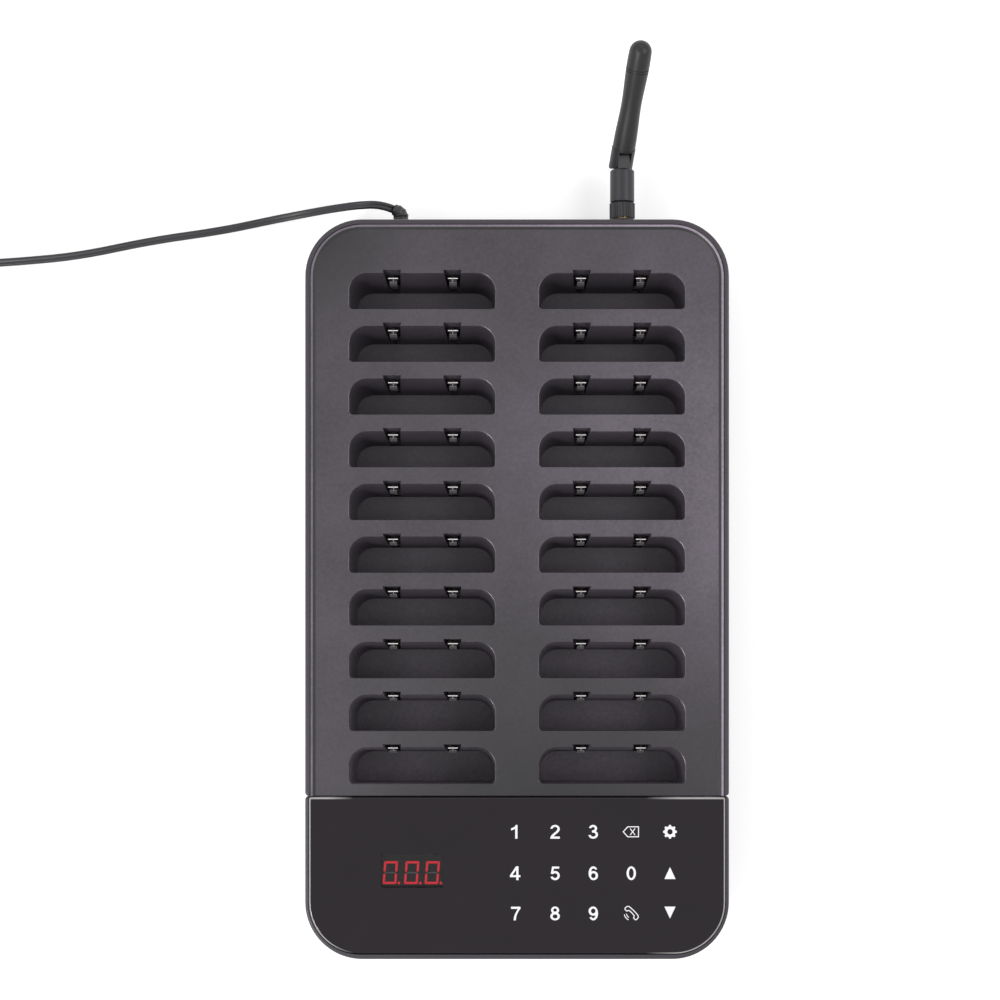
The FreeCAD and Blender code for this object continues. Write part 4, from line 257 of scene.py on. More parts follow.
def buildBrushing():
    # plated or machined metal: faint streaks along one axis, and soft blotches of tarnish
    group, entry, leave = startGroup(
        "platedMetal",
        [
            ("Tone", "NodeSocketColor", (0.6, 0.6, 0.6, 1)),
            ("Tarnish", "NodeSocketColor", (0.4, 0.35, 0.3, 1)),
            ("Roughness", "NodeSocketFloat", 0.3),
        ],
        [("Color", "NodeSocketColor"), ("Roughness", "NodeSocketFloat"), ("Height", "NodeSocketFloat")],
    )
    place = onObject(group)
    stretch = group.nodes.new("ShaderNodeMapping")
    stretch.inputs["Scale"].default_value = streakDetail["stretch"]
    group.links.new(place, stretch.inputs["Vector"])
    streaks = noiseNode(group, stretch.outputs[0], streakDetail["scale"], 3.0, 0.6)
    blotches = noiseNode(group, place, streakDetail["blotchScale"], 4.0, 0.6)
    mask = rangeNode(group, blotches, 0.45, 0.75, 0.0, 0.6)
    colour = mixColour(group, mask, entry.outputs["Tone"], entry.outputs["Tarnish"])
    group.links.new(colour, leave.inputs["Color"])
    rough = rangeNode(group, streaks, 0.3, 0.7, -0.06, 0.08)
    group.links.new(mathNode(group, "ADD", entry.outputs["Roughness"], rough), leave.inputs["Roughness"])
    group.links.new(streaks, leave.inputs["Height"])
    return group


mouldedGrain = buildGrain()
platedMetal = buildBrushing()


def startMaterial(name):
    finish = bpy.data.materials.new(name)
    finish.use_nodes = True
    return finish, finish.node_tree, finish.node_tree.nodes["Principled BSDF"]


def addBump(tree, shader, height, distance):
    bump = tree.nodes.new("ShaderNodeBump")
    bump.inputs["Distance"].default_value = distance
    tree.links.new(height, bump.inputs["Height"])
    tree.links.new(bump.outputs["Normal"], shader.inputs["Normal"])


def placeGroup(tree, group, values):
    # a shared node group with this material's own values
    surface = tree.nodes.new("ShaderNodeGroup")
    surface.node_tree = group
    for name, value in values.items():
        surface.inputs[name].default_value = value
    return surface.outputs


def mouldedPlastic(name, tone, roughness, grain=1500.0, depth=0.00002, toneChange=0.12):
    finish, tree, shader = startMaterial(name)
    surface = placeGroup(tree, mouldedGrain, {
        "Tone": (*tone, 1), "Tone Change": toneChange, "Roughness": roughness,
        "Roughness Change": grainDetail["glossChange"], "Grain Size": grain,
    })
    tree.links.new(surface["Color"], shader.inputs["Base Color"])
    tree.links.new(surface["Roughness"], shader.inputs["Roughness"])
    addBump(tree, shader, surface["Height"], depth)
    return finish


def metal(name, tone, tarnish, roughness):
    finish, tree, shader = startMaterial(name)
    surface = placeGroup(tree, platedMetal, {
        "Tone": (*tone, 1), "Tarnish": (*tarnish, 1), "Roughness": roughness,
    })
    shader.inputs["Metallic"].default_value = 1.0
    tree.links.new(surface["Color"], shader.inputs["Base Color"])
    tree.links.new(surface["Roughness"], shader.inputs["Roughness"])
    addBump(tree, shader, surface["Height"], streakDetail["depth"])
    return finish


def heightMask(tree, high, rise, fall=None):
    # 1 over a range of heights: where it rises, and where it falls again
    mask = rangeNode(tree, high, *inMetres(rise), 0.0, 1.0)
    if fall:
        mask = mathNode(tree, "MULTIPLY", mask, rangeNode(tree, high, *inMetres(fall), 1.0, 0.0))
    return mask


def boxMask(tree, place, centre, halfSizes, soft):
    # 1 inside a rectangle seen from above, 0 outside it
    parts = split(tree, place)
    masks = []
    for axis, middle, half in zip("XY", centre, halfSizes):
        off = mathNode(tree, "ABSOLUTE", mathNode(tree, "SUBTRACT", parts[axis], middle))
        masks.append(rangeNode(tree, off, half - soft, half + soft, 1.0, 0.0))
    return mathNode(tree, "MULTIPLY", *masks)


# the window is the clearer place over the display, in millimetres
panelFinish = {
    "windowCentre": (-42.46, -113.5),
    "windowSize": (24.7, 13.4),
    "windowSoft": 0.15,
    "windowAlpha": 0.35,
    "hazeScale": 35.0,
    "dustScale": 3200.0,
    "dark": (0.004, 0.0014, 0.0045, 1),
    "light": (0.0065, 0.0025, 0.007, 1),
    "refraction": 1.4,
    # the edge keys place a painted highlight on the panel's rounded edge
    "edgeHeights": (36.595, 36.57),
    "edgeLeft": (-66.0, -76.0),
    "edgeRight": (52.0, 66.0),
    "edgeHighlightTone": (0.36, 0.35, 0.35, 1),
}


def smokedPanel(name):
    # glossy black, and clearer over the display
    finish, tree, shader = startMaterial(name)
    place = onObject(tree)
    centre = inMetres(panelFinish["windowCentre"])
    half = [size / 2 for size in inMetres(panelFinish["windowSize"])]
    window = boxMask(tree, place, centre, half, panelFinish["windowSoft"] * mm)
    haze = noiseNode(tree, place, panelFinish["hazeScale"], 4.0, 0.6)
    dust = noiseNode(tree, place, panelFinish["dustScale"], 1.0, 0.5)
    tone = mixColour(tree, haze, panelFinish["dark"], panelFinish["light"])
    # a painted highlight on the rounded edge, along the sides and round the front corners
    parts = split(tree, place)
    sides = mathNode(
        tree, "MAXIMUM",
        rangeNode(tree, parts["X"], *inMetres(panelFinish["edgeLeft"]), 0.0, 1.0),
        rangeNode(tree, parts["X"], *inMetres(panelFinish["edgeRight"]), 0.0, 1.0),
    )
    edge = heightMask(tree, parts["Z"], panelFinish["edgeHeights"])
    paintedEdge = mathNode(tree, "MULTIPLY", edge, sides)
    tree.links.new(mixColour(tree, paintedEdge, tone, panelFinish["edgeHighlightTone"]), shader.inputs["Base Color"])
    rough = rangeNode(tree, haze, 0.3, 0.7, 0.05, 0.08)
    speck = rangeNode(tree, dust, 0.72, 0.8, 0.0, 0.08)
    tree.links.new(mathNode(tree, "ADD", rough, speck), shader.inputs["Roughness"])
    tree.links.new(rangeNode(tree, window, 0.0, 1.0, 1.0, panelFinish["windowAlpha"]), shader.inputs["Alpha"])
    shader.inputs["IOR"].default_value = panelFinish["refraction"]
    return finish


def glowing(name, tone, low, high, strength):
    # a glow that is a little uneven: the lit segments' own, and a painted glow on the display's face
    finish, tree, shader = startMaterial(name)
    glow = noiseNode(tree, onObject(tree), 900.0, 2.0, 0.5)
    tree.links.new(mixColour(tree, glow, (*low, 1), (*high, 1)), shader.inputs["Emission Color"])
    shader.inputs["Emission Strength"].default_value = strength
    shader.inputs["Base Color"].default_value = (*tone, 1)
    shader.inputs["Roughness"].default_value = 0.5
    shader.inputs["Specular IOR Level"].default_value = 0.2
    return finish


def spot(tree, place, across, along, reach):
    # 1 at a place seen from above, fading to 0 at its reach
    flat = tree.nodes.new("ShaderNodeVectorMath")
    flat.operation = "MULTIPLY"
    tree.links.new(place, flat.inputs[0])
    flat.inputs[1].default_value = (1, 1, 0)
    apart = tree.nodes.new("ShaderNodeVectorMath")
    apart.operation = "DISTANCE"
    tree.links.new(flat.outputs[0], apart.inputs[0])
    apart.inputs[1].default_value = (across * mm, along * mm, 0)
    return rangeNode(tree, apart.outputs["Value"], 0.0, reach * mm, 1.0, 0.0, smooth=True)


# heights and places are in millimetres, and shares multiply the deck's tone
deckFinish = {
    "roughness": 0.5,
    "grain": 1700.0,
    "depth": 0.00003,
    "mottle": 1.1,
    "share": 0.7,
    # the slots' tone is painted light and shade, lighter in front and darker at the rear
    "slotHeights": (35.2, 35.6),
    "slotEnds": (-80, 140),
    "slotLightAndShade": (1.35, 0.7),
    # the bead's inner slope is painted dark as shade
    "slopeHeights": ((36.02, 36.1), (36.6, 36.72)),
    "slopePaintedShade": 0.1,
    # the bead's crest is painted lighter as a highlight, stronger towards the right
    "crestHeights": (36.62, 36.74),
    "crestEnds": (-80, 80),
    "crestHighlightShares": (1.9, 4.2),
    "lipHeights": ((35.45, 35.6), (35.94, 35.99)),
    # a painted pool of light and painted shade across the deck
    "paintedLightSpot": (88, 50, 115),
    "paintedLightShare": 0.95,
    "paintedShadeFront": (15, -110, 150),
    "paintedShadeCorner": (-90, 150, 65),
    "paintedShadeShare": 0.62,
    "polish": 0.24,
}


def deckPlastic(name, tone):
    # the deck: painted light and shade in the slots, lighter towards the front and darker towards the rear;
    # glossier on their lips and on the bead's crest
    finish, tree, shader = startMaterial(name)
    place = onObject(tree)
    parts = split(tree, place)
    high = parts["Z"]
    surface = placeGroup(tree, mouldedGrain, {
        "Tone": (*tone, 1), "Tone Change": deckFinish["mottle"], "Roughness": deckFinish["roughness"],
        "Roughness Change": grainDetail["glossChange"], "Grain Size": deckFinish["grain"],
    })
    inSlot = rangeNode(tree, high, *inMetres(deckFinish["slotHeights"]), 1.0, 0.0)
    onSlope = heightMask(tree, high, *deckFinish["slopeHeights"])
    onCrest = heightMask(tree, high, deckFinish["crestHeights"])
    onLip = heightMask(tree, high, *deckFinish["lipHeights"])
    # painted light: a pale pool beside the right edge; painted shade in front and at the rear left corner
    lightMask = spot(tree, place, *deckFinish["paintedLightSpot"])
    shadeMask = mathNode(
        tree, "MAXIMUM",
        spot(tree, place, *deckFinish["paintedShadeFront"]), spot(tree, place, *deckFinish["paintedShadeCorner"]),
    )
    lightLift = mathNode(tree, "MULTIPLY", lightMask, deckFinish["paintedLightShare"])
    darker = mathNode(tree, "MULTIPLY", shadeMask, deckFinish["paintedShadeShare"])
    share = mathNode(tree, "SUBTRACT", mathNode(tree, "ADD", deckFinish["share"], lightLift), darker)
    # painted light and shade in the slots: lighter in front, darker at the rear
    paintedSlotTone = rangeNode(tree, parts["Y"], *inMetres(deckFinish["slotEnds"]), *deckFinish["slotLightAndShade"])
    paintedCrestHighlight = rangeNode(tree, parts["X"], *inMetres(deckFinish["crestEnds"]), *deckFinish["crestHighlightShares"])
    # the slots, the bead's slope and its crest get their painted light and shade
    for mask, value in ((inSlot, paintedSlotTone), (onSlope, deckFinish["slopePaintedShade"]), (onCrest, paintedCrestHighlight)):
        share = rangeNode(tree, mask, 0.0, 1.0, share, value)
    tree.links.new(scaleColour(tree, surface["Color"], share), shader.inputs["Base Color"])
    polish = mathNode(tree, "MULTIPLY", mathNode(tree, "MAXIMUM", onCrest, onLip), deckFinish["polish"])
    tree.links.new(mathNode(tree, "SUBTRACT", surface["Roughness"], polish), shader.inputs["Roughness"])
    addBump(tree, shader, surface["Height"], deckFinish["depth"])
    return finish


# column, spread and groove say where the heads and their grooves are, in millimetres
contactFinish = {
    "column": 38.3,
    "spread": 12.1,
    "groove": (0.12, 0.3),
    "grooveShade": 0.6,
    "headHeights": (27.0, 27.3),
    "tone": (0.93, 0.92, 0.9, 1),
    "tarnish": (0.7, 0.66, 0.58, 1),
    # the leaf's tone is painted shade
    "leaf": (0.09, 0.08, 0.09, 1),
    "roughness": 0.24,
    "wearScale": 60.0,
    "wearShare": 0.2,
    "leafDullness": 0.25,
}


def contactMetal(name):
    # a spring contact: a bright metal head with a darker line painted down its middle as a groove's shade,
    # and the leaf below it painted dark, dull and not metal, as shade
    finish, tree, shader = startMaterial(name)
    place = onObject(tree)
    parts = split(tree, place)
    surface = placeGroup(tree, platedMetal, {
        "Tone": contactFinish["tone"], "Tarnish": contactFinish["tarnish"],
        "Roughness": contactFinish["roughness"],
    })
    off = parts["X"]
    for distance in inMetres((contactFinish["column"], contactFinish["spread"])):
        off = mathNode(tree, "SUBTRACT", mathNode(tree, "ABSOLUTE", off), distance)
    off = mathNode(tree, "ABSOLUTE", off)
    groove = rangeNode(tree, off, *inMetres(contactFinish["groove"]), contactFinish["grooveShade"], 1.0)
    head = heightMask(tree, parts["Z"], contactFinish["headHeights"])
    wear = noiseNode(tree, place, contactFinish["wearScale"], 2.0, 0.5)
    worn = rangeNode(tree, wear, 0.66, 0.74, 0.0, contactFinish["wearShare"])
    bright = mathNode(tree, "MAXIMUM", mathNode(tree, "MULTIPLY", head, groove), worn)
    # below the head the metal is painted dark as shade
    shade = mixColour(tree, bright, contactFinish["leaf"], surface["Color"])
    tree.links.new(shade, shader.inputs["Base Color"])
    tree.links.new(bright, shader.inputs["Metallic"])
    dull = rangeNode(tree, bright, 0.0, 1.0, contactFinish["leafDullness"], 0.0)
    tree.links.new(mathNode(tree, "ADD", surface["Roughness"], dull), shader.inputs["Roughness"])
    addBump(tree, shader, surface["Height"], streakDetail["depth"])
    return finish


boardDetail = {
    "rows": {
        "Scale": 90.0, "Mortar Size": 0.028, "Mortar Smooth": 0.1, "Brick Width": 0.9, "Row Height": 0.21,
    },
    "rowShift": 0.37,
    "padScale": 230.0,
    "padSize": 0.16,
    "padTone": (0.5, 0.5, 0.47, 1),
    "depth": 0.00003,
}


def circuitBoard(name, mask=(0.008, 0.075, 0.03), tracks=(0.02, 0.16, 0.06)):
    # solder mask with lighter tracks under it and rows of tinned pads
    finish, tree, shader = startMaterial(name)
    place = onObject(tree)
    brick = tree.nodes.new("ShaderNodeTexBrick")
    tree.links.new(place, brick.inputs["Vector"])
    brick.offset = boardDetail["rowShift"]
    for socketName, value in boardDetail["rows"].items():
        brick.inputs[socketName].default_value = value
    pads = tree.nodes.new("ShaderNodeTexVoronoi")
    tree.links.new(place, pads.inputs["Vector"])
    pads.inputs["Scale"].default_value = boardDetail["padScale"]
    track = mixColour(tree, brick.outputs["Fac"], (*mask, 1), (*tracks, 1))
    dots = mathNode(tree, "LESS_THAN", pads.outputs["Distance"], boardDetail["padSize"])
    tree.links.new(mixColour(tree, dots, track, boardDetail["padTone"]), shader.inputs["Base Color"])
    tree.links.new(rangeNode(tree, dots, 0.0, 1.0, 0.32, 0.22), shader.inputs["Roughness"])
    addBump(tree, shader, brick.outputs["Fac"], boardDetail["depth"])
    return finish


sheathDetail = {
    "waveScale": 90.0,
    "lineScale": 2600.0,
    "darkShare": 0.75,
    "depth": 0.00001,
}


def vinylSheath(name, tone, roughness):
    # a cord's soft jacket: slow waves of gloss, and faint flow lines
    finish, tree, shader = startMaterial(name)
    place = onObject(tree)
    waves = noiseNode(tree, place, sheathDetail["waveScale"], 3.0, 0.6)
    fine = noiseNode(tree, place, sheathDetail["lineScale"], 2.0, 0.6)
    darker = tuple(value * sheathDetail["darkShare"] for value in tone)
    tree.links.new(mixColour(tree, waves, (*darker, 1), (*tone, 1)), shader.inputs["Base Color"])
    gloss = rangeNode(tree, waves, 0.3, 0.7, roughness - 0.06, roughness + 0.08)
    tree.links.new(gloss, shader.inputs["Roughness"])
    addBump(tree, shader, fine, sheathDetail["depth"])
    return finish


finishes = {
    "shell": mouldedPlastic("shellPlastic", (0.033, 0.027, 0.036), 0.36, grain=2300.0, depth=0.000008),
    "deck": deckPlastic("deckPlastic", (0.062, 0.052, 0.066)),
    "panel": smokedPanel("panelSmoked"),
    # the display's face gets a faint painted glow, though it is no lamp
    "displayFacePaintedGlow": glowing(
        "displayFacePaintedGlow", (0.015, 0.016, 0.014), (0.026, 0.029, 0.025), (0.03, 0.031, 0.027), 1.0,
    ),
    "segments": glowing("litSegments", (0.06, 0.002, 0.003), (0.94, 0.03, 0.06), (1.0, 0.06, 0.07), 1.3),
    "darkSegments": mouldedPlastic("darkSegments", (0.2, 0.2, 0.19), 0.5, grain=1800.0, depth=0.000004),
    "board": circuitBoard("boardGreen"),
    "darkBoard": circuitBoard("boardBlack", (0.03, 0.028, 0.03), (0.045, 0.042, 0.045)),
    "chip": mouldedPlastic("chipResin", (0.02, 0.02, 0.022), 0.55, grain=2500.0, depth=0.00001),
    "shield": metal("shieldTin", (0.62, 0.62, 0.63), (0.45, 0.44, 0.42), 0.34),
    "foam": mouldedPlastic("keyFoam", (0.09, 0.09, 0.1), 0.85, grain=1900.0, depth=0.00012, toneChange=0.4),
    "contact": contactMetal("contactPlating"),
    "solder": metal("solderTin", (0.11, 0.11, 0.11), (0.06, 0.06, 0.06), 0.5),
    "screw": metal("screwZinc", (0.6, 0.6, 0.62), (0.42, 0.41, 0.38), 0.33),
    "foot": mouldedPlastic("footRubber", (0.028, 0.028, 0.028), 0.78, grain=1300.0, depth=0.00004),
    "jack": metal("jackGold", (0.86, 0.66, 0.3), (0.62, 0.42, 0.18), 0.26),
    "nut": metal("nutNickel", (0.05, 0.05, 0.052), (0.09, 0.085, 0.08), 0.42),
    "antenna": mouldedPlastic("antennaPlastic", (0.005, 0.004, 0.006), 0.42, grain=2600.0, depth=0.000012),
    "barrel": mouldedPlastic("barrelPlastic", (0.016, 0.014, 0.018), 0.4, grain=2600.0, depth=0.000012),
    "black": mouldedPlastic("blackPlastic", (0.022, 0.022, 0.024), 0.4, grain=2000.0, depth=0.000012),
    "adapter": mouldedPlastic("adapterPlastic", (0.024, 0.024, 0.026), 0.5, grain=1500.0, depth=0.00003),
    "sheath": vinylSheath("cordVinyl", (0.018, 0.016, 0.021), 0.36),
    "wire": vinylSheath("wireVinyl", (0.35, 0.03, 0.025), 0.4),
    "ribbon": vinylSheath("ribbonVinyl", (0.42, 0.42, 0.43), 0.45),
    "blade": metal("bladeNickel", (0.72, 0.7, 0.66), (0.55, 0.5, 0.42), 0.22),
    "ink": mouldedPlastic(
        "legendInk", (0.76, 0.76, 0.77), 0.5, grain=2500.0, depth=0.000002, toneChange=0.05,
    ),
    "strap": mouldedPlastic("strapVinyl", (0.02, 0.02, 0.021), 0.46, grain=1200.0, depth=0.00004),
}
print("materials made:", len(finishes))


# the CAD nodes that stay get their finishes

nodeFinishes = {
    "bottom_case": "shell", "rear_housing": "shell", "keypad_housing": "shell", "charging_deck": "deck",
    "keypad_panel": "panel", "display_module": "displayFacePaintedGlow",
    "main_board": "board", "touch_board": "board", "charging_board_left": "darkBoard",
    "charging_board_right": "darkBoard", "adapter_board": "board", "main_board_parts": "chip",
    "buzzer": "chip",
    "radio_module": "shield", "key_pads": "foam", "solder_feet": "solder", "case_screws": "screw",
    "board_screws": "screw", "rubber_feet": "foot", "antenna_jack": "jack", "antenna_nut": "nut",
    "antenna_collar": "barrel", "antenna_barrel": "barrel", "antenna_pin": "screw", "antenna_whip": "antenna",
    "power_inlet": "black", "inlet_nut": "black", "lead_plug": "sheath", "adapter_case": "adapter",
    "adapter_cover": "adapter", "adapter_blades": "blade", "adapter_relief": "sheath", "coax_cable": "sheath",
    "inner_wires": "wire", "ribbon_cable": "ribbon",
}
for nodeName, finishName in nodeFinishes.items():
    dress(nodes[nodeName], finishes[finishName])
for nodeName, node in nodes.items():
    if nodeName.startswith("contacts_"):
        dress(node, finishes["contact"])
print("nodes dressed")


# the lead: one flat twin cord from the plug, through the tied coil, to the adapter

lead = {
    "width": 3.4 * mm,
    "thickness": 1.8 * mm,
    "groove": 0.5 * mm,
    "lobePoints": 11,
    "length": 1.24,
    "exit": (-50.83, 156.28, 18.0),
    "route": [
        (-55.8, 158.39, 18.0), (-65.5, 158.5, 16.2), (-77.5, 158.0, 9.6), (-90.0, 156.9, 3.6),
        (-103.5, 154.8, 1.05), (-125.0, 150.2, 1.05), (-155.0, 146.0, 1.05), (-185.0, 139.6, 1.05),
        (-210.0, 137.2, 1.3), (-229.0, 136.0, 1.79),
    ],
    "tail": [
        (-272.0, 109.6, 8.69), (-272.0, 96.1, 8.69), (-268.0, 82.0, 7.9),
        (-262.0, 70.6, 7.6), (-262.0, 64.0, 7.6),
    ],
    "coilCentre": (-249.0, 113.0, 1.79),
    "coilRadius": 19.0,
    "coilStep": 3.9,
    "coilLayerStep": 2.3,
    "coilTurns": 8.25,
    "coilLayers": 4,
    "climbTurns": 0.5,
    "pointsPerTurn": 16,
}


def coilPoint(turn):
    # the coil is wound in layers, inwards and back out, with a short climb between them
    perLayer = lead["coilTurns"] / lead["coilLayers"]
    layer = min(int(turn / perLayer), lead["coilLayers"] - 1)
    within = turn / perLayer - layer
    side = 1 - 2 * within if layer % 2 == 0 else 2 * within - 1
    radius = lead["coilRadius"] + lead["coilStep"] * perLayer / 2 * side
    radius /= math.cos(math.pi / lead["pointsPerTurn"])
    height = 0
    climbTurns = lead["climbTurns"]
    for climb in range(1, lead["coilLayers"]):
        progress = min(1, max(0, (turn - climb * perLayer + climbTurns / 2) / climbTurns))
        height += progress * progress * (3 - 2 * progress) * lead["coilLayerStep"]
    angle = math.pi / 2 + 2 * math.pi * turn
    across, along, up = lead["coilCentre"]
    return across + radius * math.cos(angle), along + radius * math.sin(angle), up + height


def leadPoints():
    count = round(lead["coilTurns"] * lead["pointsPerTurn"])
    coil = [coilPoint(lead["coilTurns"] * step / count) for step in range(count + 1)]
    return [Vector(point) * mm for point in [lead["exit"]] + lead["route"] + coil + lead["tail"]]


def splineLine(points):
    # the smooth line that a NURBS spline draws with these control points
    curve = bpy.data.curves.new("leadRoute", "CURVE")
    curve.dimensions = "3D"
    spline = curve.splines.new("NURBS")
    spline.points.add(len(points) - 1)
    for target, point in zip(spline.points, points):
        target.co = (*point, 1)
    spline.order_u = 3
    spline.use_endpoint_u = True
    spline.resolution_u = 5
    holder = bpy.data.objects.new("leadRoute", curve)
    bpy.context.scene.collection.objects.link(holder)
    bpy.context.view_layer.update()
    mesh = bpy.data.meshes.new_from_object(holder)
    line = [vertex.co.copy() for vertex in mesh.vertices]
    bpy.data.objects.remove(holder)
    bpy.data.meshes.remove(mesh)
    return line


def twinSection():
    # the outline of two joined round conductors
    lobe = lead["thickness"] / 2
    centre = lead["width"] / 2 - lobe
    opening = math.asin(lead["groove"] / lobe)
    points = []
    for hand in (1, -1):
        for step in range(lead["lobePoints"]):
            angle = -(math.pi - opening) + 2 * (math.pi - opening) * step / (lead["lobePoints"] - 1)
            points.append((hand * (centre + lobe * math.cos(angle)), hand * lobe * math.sin(angle)))
    return points


def sweepTwin(line):
    section = twinSection()
    mesh = bmesh.new()
    rings = []
    for index, point in enumerate(line):
        before = line[max(0, index - 1)]
        after = line[min(len(line) - 1, index + 1)]
        heading = (after - before).normalized()
        side = heading.cross(Vector((0, 0, 1))).normalized()
        up = side.cross(heading)
        rings.append([mesh.verts.new(point + side * across + up * rise) for across, rise in section])
    count = len(section)
    for near, far in zip(rings, rings[1:]):
        for step in range(count):
            mesh.faces.new((near[step], near[(step + 1) % count], far[(step + 1) % count], far[step]))
    mesh.faces.new(rings[0])
    mesh.faces.new(rings[-1])
    bmesh.ops.recalc_face_normals(mesh, faces=mesh.faces)
    data = bpy.data.meshes.new("powerLead")
    mesh.to_mesh(data)
    mesh.free()
    for face in data.polygons:
        face.use_smooth = True
    return data


leadLine = splineLine(leadPoints())
powerLead = addPiece("powerLead", sweepTwin(leadLine), "base", finishes["sheath"])
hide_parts("lead_cord", "lead_coil", "lead_tail")
print("lead made:", len(leadLine), "rings")


# the tie round the coil's bundle: a soft strap with rounded corners and edges

tie = {
    "thickness": 0.8 * mm,
    "edge": 0.25 * mm,
    "corner": 2.2 * mm,
    "cornerSteps": 5,
    "edgeSteps": 2,
    "smoothAngle": 40,
}


def coilTie():
    low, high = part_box("lead_tie")
    size = high - low
    deselectAll()
    bpy.ops.mesh.primitive_cube_add(size=1, location=(low + high) / 2)
    strap = bpy.context.object
    strap.name = "coilTie"
    strap.scale = size
    bpy.ops.object.transform_apply(location=True, rotation=False, scale=True)
    bpy.ops.object.mode_set(mode="EDIT")
    mesh = bmesh.from_edit_mesh(strap.data)
    for edge in mesh.edges:
        first, second = (vertex.co for vertex in edge.verts)
        edge.select_set(abs(first.y - second.y) > size.y / 2)
    bmesh.update_edit_mesh(strap.data)
    bpy.ops.mesh.bevel(offset=tie["corner"], segments=tie["cornerSteps"], profile=0.5)
    bpy.ops.mesh.select_all(action="DESELECT")
    mesh = bmesh.from_edit_mesh(strap.data)
    for face in mesh.faces:
        face.select_set(abs(face.normal.y) > 0.9)
    bmesh.update_edit_mesh(strap.data)
    bpy.ops.mesh.delete(type="FACE")
    bpy.ops.object.mode_set(mode="OBJECT")
    thicken = strap.modifiers.new("strapThickness", "SOLIDIFY")
    thicken.thickness = tie["thickness"]
    thicken.offset = -1
    bpy.ops.object.modifier_apply(modifier=thicken.name)
    soften = strap.modifiers.new("strapEdges", "BEVEL")
    soften.width = tie["edge"]
    soften.segments = tie["edgeSteps"]
    soften.limit_method = "ANGLE"
    bpy.ops.object.modifier_apply(modifier=soften.name)
    bpy.ops.object.shade_smooth_by_angle(angle=math.radians(tie["smoothAngle"]))
    dress(strap, finishes["strap"])
    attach(strap, "base")
    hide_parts("lead_tie")
    return strap


strap = coilTie()
print("tie made")


# the keypad's marks: digits and plain icons, printed on the panel

keypad = {
    "marks": {
        "1": (-0.8, -97.7), "2": (15.3, -97.7), "3": (30.7, -97.7),
        "erase": (45.8, -97.7), "gear": (61.6, -97.7),
        "4": (-0.8, -114.4), "5": (15.3, -114.4), "6": (30.7, -114.4),
        "0": (46.0, -114.4), "up": (61.6, -114.4),
        "7": (-0.8, -130.6), "8": (15.3, -130.6), "9": (30.7, -130.6),
        "call": (45.9, -130.6), "down": (61.6, -130.2),
    },
    "stroke": 0.38,
    "waveShare": 0.85,
    "cross": {"arm": 1.85, "halfShare": 0.55, "squeeze": 0.75, "across": 0.75},
    "gear": {"teeth": 8, "tip": 2.8, "root": 2.25, "tipShare": 0.16, "rootShare": 0.3, "hole": 1.1},
    "rise": 0.02,
    "arcSteps": 20,
    "ringEnd": 342,
}
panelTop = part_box("keypad_panel")[1].z


def bow(across, along, wide, tall, low, high):
    # points along an ellipse, from one angle to another
    steps = keypad["arcSteps"]
    angles = [math.radians(low + (high - low) * step / steps) for step in range(steps + 1)]
    return [(across + wide * math.cos(angle), along + tall * math.sin(angle)) for angle in angles]


def ring(across, along, wide, tall):
    # a whole ellipse, which ends one step before its start
    return bow(across, along, wide, tall, 0, keypad["ringEnd"])


# the digits' outlines, in millimetres about their middles

